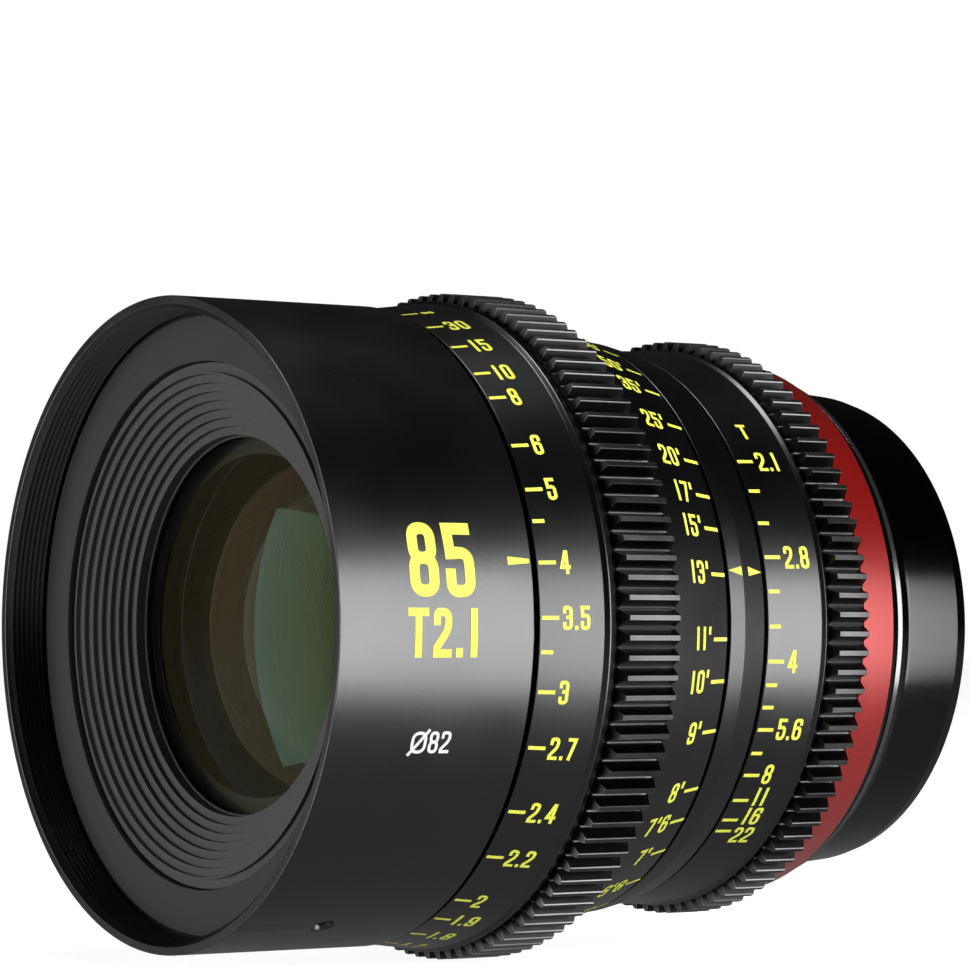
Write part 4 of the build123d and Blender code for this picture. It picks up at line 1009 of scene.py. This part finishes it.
FOOT, INCH = 304.8, 25.4
feet_marks = Marks(FEET)
FEET_TICK, FEET_LONG = FOCUS_BACK - 2.8, 2.7
FEET_NUMBER, FEET_TURN = FEET_TICK - 0.5, -0.2
for feet in NUMBERED_FEET:
    angle = distance_angle(feet * FOOT, FEET_GAUGE)
    feet_marks.tick(FEET_TICK, FEET_LONG, angle)
    feet_marks.text(f"{feet:g}'", FEET_NUMBER, angle + FEET_TURN, share=1, wide=0.95)
for feet in (7, 6):
    angle = distance_angle(feet * FOOT + 6 * INCH, FEET_GAUGE)
    feet_marks.tick(FEET_TICK, FEET_LONG, angle)
    feet_marks.text(f"{feet}'6", FEET_NUMBER, angle + FEET_TURN, share=1, wide=0.95)
feet_marks.tick(FEET_TICK, FEET_LONG, FEET_GAUGE[0])
feet_marks.text("∞", FEET_NUMBER, FEET_GAUGE[0], height=2.0, share=1)
feet_marks.piece("feet_scale", "focus_ring", "black_anodised", yellow)

# %% [markdown]
# The stops lie where a turn of the iris ring swings the blades to each opening. They crowd together as
# the opening gets small, so their angles were read off the photograph one by one. The large figures on
# the barrel stand a little more proud, because their long strokes cut the corner of its curve.

# %% T-stops, index marks and the figures on the barrel
STOP_TICK, STOP_LONG, STOP_SHORT = IRIS_FRONT + 0.3, 2.55, 1.8
STOP_NUMBERS = {
    "2.1": 54.87, "2.8": 75.94, "4": 96.6, "5.6": 110.5, "8": 120.6, "11": 126.7, "16": 131.9, "22": 135.06
}
STOP_SHIFTS = {"5.6": -0.1, "8": -0.25, "11": -0.9, "16": -1.05, "22": 1.15}
THIRD_STOPS = (61.84, 68.9, 82.8, 89.7, 101.3, 105.85, 115.6)
stop_marks = Marks(STOPS)
for words, angle in STOP_NUMBERS.items():
    stop_marks.tick(STOP_TICK, STOP_LONG, angle)
    stop_marks.text(words, STOP_TICK + 3.2, angle + STOP_SHIFTS.get(words, 0), wide=0.95)
for angle in THIRD_STOPS:
    stop_marks.tick(STOP_TICK, STOP_SHORT, angle)
stop_marks.text("T", STOP_TICK + 2.8, 47, height=2.7)
stop_marks.piece("stop_scale", "iris_ring", "black_anodised", yellow)

INDEX_ANGLE = 79.1
index_marks = Marks(INDEX)
index_marks.wedge(INDEX_FRONT + 0.15, INDEX_FRONT + 2.55, 0.02, 0.62, INDEX_ANGLE)
index_marks.wedge(INDEX_BACK - 2.7, INDEX_BACK - 0.1, 0.62, 0.02, INDEX_ANGLE)
index_marks.piece("index_arrows", "barrel", "black_anodised", yellow)

BIG_PAINT = 0.02
barrel_marks = Marks([(0, FRONT_RADIUS + BIG_PAINT), (BARREL_END, FRONT_RADIUS + BIG_PAINT)])
barrel_marks.wedge(25.3, 28.6, 0.54, 0.27, 78.85)
barrel_marks.text("85", 15.3, 78.8, height=9.35, line=1.5, share=0.5, wide=0.93)
barrel_marks.text("T2.1", 15.35, 91.0, height=6.1, line=1.02, share=0.5, wide=0.9)
barrel_marks.piece("barrel_figures", "barrel", "black_anodised", yellow)

thread_note = Marks([(0, FRONT_RADIUS), (BARREL_END, FRONT_RADIUS)])
thread_note.text("ø82", 15.0, 109.6, height=2.9, line=0.42, share=0.5)
thread_note.piece("thread_size_figures", "barrel", "black_anodised", white)

# %% [markdown]
# The photograph shows the lens level, from its front right, against plain white. The camera was fitted
# to the ring edges: its place and its shift come from that fit. Only the picture's own frame matters
# here, so nothing is read back from Blender's render size.

# %% Camera
FOCAL_PIXELS, PICTURE = 4084, 970
PRINCIPAL_Y = 626.5
AZIMUTH, ROLL = radians(54.80), radians(0.245)
ASIDE, BELOW, AWAY = 41.96, 0.14, 526.47
right = Vector((cos(AZIMUTH), sin(AZIMUTH), 0))
ahead = Vector((-sin(AZIMUTH), cos(AZIMUTH), 0))
up = Vector((0, 0, 1))
right, up = right * cos(ROLL) + up * sin(ROLL), up * cos(ROLL) - right * sin(ROLL)
lens = bpy.data.cameras.new("camera")
lens.sensor_width = 36
lens.lens = FOCAL_PIXELS / PICTURE * lens.sensor_width
lens.shift_y = (PRINCIPAL_Y - PICTURE / 2) / PICTURE
lens.clip_start, lens.clip_end = 0.01, 50
camera = in_scene("camera", lens)
turn = Matrix((right, up, -ahead)).transposed().to_4x4()
eye = (Vector((0, RIM, 0)) + right * ASIDE - up * BELOW - ahead * AWAY) * MM
camera.matrix_world = Matrix.Translation(eye) @ turn
bpy.context.scene.camera = camera
print("camera at", [round(v, 3) for v in eye], "m, lens", round(lens.lens, 1), "mm")

# %% [markdown]
# The lens lies on a pale floor, which is white to the eye. Reflections don't see the floor itself: the
# backdrop gives them a table's grey instead, right up to the horizon. So the floor and the backdrop each
# show one thing to the camera and another to the other rays.

# %% Floor
FLOOR_LEVEL = cad_box[0].z
FLOOR_REACH, FLOOR_GREY, FLOOR_GLOW = 4.0, 0.4, 0.93


def ray_mix(nodes, link, plain, seen, kind):
    """A shader node that shows `seen` to one kind of ray and `plain` to all others."""
    path, mix = add_node(nodes, "LightPath"), add_node(nodes, "MixShader")
    join(link, (path, kind, mix, 0), (plain, 0, mix, 1), (seen, 0, mix, 2))
    return mix


floor_mesh = bpy.data.meshes.new("floor")
floor_corners = [
    (x * FLOOR_REACH, y * FLOOR_REACH, FLOOR_LEVEL) for x, y in ((-1, -1), (1, -1), (1, 1), (-1, 1))
]
floor_mesh.from_pydata(floor_corners, [], [(0, 1, 2, 3)])
floor = in_scene("floor", floor_mesh)
paper, nodes, link = new_material("pale_paper")[:3]
nodes.clear()
matte = add_node(nodes, "BsdfDiffuse", {"Color": (FLOOR_GREY, FLOOR_GREY, FLOOR_GREY, 1)})
glow = add_node(nodes, "Emission", {"Strength": FLOOR_GLOW})
both = add_node(nodes, "AddShader")
join(link, (matte, 0, both, 0), (glow, 0, both, 1))
shown_floor = ray_mix(nodes, link, matte, both, "Is Camera Ray")
join(link, (shown_floor, 0, add_node(nodes, "OutputMaterial"), "Surface"))
floor_mesh.materials.append(paper)
floor.visible_glossy = False
floor.visible_transmission = False
floor.visible_shadow = False
print("floor at", round(FLOOR_LEVEL, 4), "m")

# %% [markdown]
# In the photograph the upper half of every ring mirrors a dark studio and the lower half a pale table.
# The world does the same for reflections, with a soft step at the horizon. The camera sees it white,
# and whoever looks through the glass sees a dim grey.

# %% Backdrop
ROOM, TABLE = 0.008, 0.17
HORIZON_FROM, HORIZON_TO = -0.12, 0.02
BEHIND = (0.42, 0.42, 0.38)
world = bpy.data.worlds.new("studio")
bpy.context.scene.world = world
world.use_nodes = True
nodes, link = world.node_tree.nodes, world.node_tree.links.new
nodes.clear()
direction = add_node(nodes, "TexCoord")
parts = add_node(nodes, "SeparateXYZ")
level = add_node(
    nodes, "MapRange",
    {"From Min": HORIZON_FROM, "From Max": HORIZON_TO, "To Min": TABLE, "To Max": ROOM},
)
room = add_node(nodes, "Background")
join(
    link,
    (direction, "Generated", parts, 0),
    (parts, "Z", level, "Value"),
    (level, "Result", room, "Color"),
)
backdrop = add_node(nodes, "Background", {"Color": (1, 1, 1, 1)})
through = add_node(nodes, "Background", {"Color": (*BEHIND, 1)})
behind_glass = ray_mix(nodes, link, room, through, "Is Transmission Ray")
sky = ray_mix(nodes, link, behind_glass, backdrop, "Is Camera Ray")
join(link, (sky, 0, add_node(nodes, "OutputWorld"), "Surface"))
print("world:", len(nodes), "nodes")

# %% [markdown]
# Three softboxes shape the metal: a tall one on the near side makes the bright band, one overhead
# touches the tips of the teeth, and one in front lights the rim's corner and the glass. Two more lamps
# don't show in reflections. One brightens the paint and the other the dull black inside the mouth.

# %% Lamps
def panel(name, azimuth, elevation, distance, width, height, power, glossy=True):
    """A soft lamp that faces the lens. Azimuth is counted from +X towards +Y."""
    lamp = bpy.data.lights.new(name, "AREA")
    lamp.shape = "RECTANGLE"
    lamp.size, lamp.size_y = width, height
    lamp.energy = power
    holder = in_scene(name, lamp)
    a, e = radians(azimuth), radians(elevation)
    away = Vector((cos(a) * cos(e), sin(a) * cos(e), sin(e)))
    holder.location = Vector((0, RIM / 2 * MM, 0)) + away * distance
    holder.rotation_euler = away.to_track_quat("Z", "Y").to_euler()
    holder.visible_glossy = glossy
    holder.visible_camera = False
    holder.visible_transmission = False


panel("side_softbox", 33.8, -0.5, 1.2, 0.82, 0.78, 8.8)
panel("overhead_softbox", 90, 89, 1.2, 0.5, 0.5, 5)
panel("front_softbox", 248, -2, 1.2, 0.8, 1.0, 8.5)
panel("paint_fill", 15, 8, 1.4, 1.4, 2.0, 36, glossy=False)
panel("mouth_fill", 270, 0, 1.4, 0.3, 0.3, 12, glossy=False)
print("lamps:", len(bpy.data.lights))
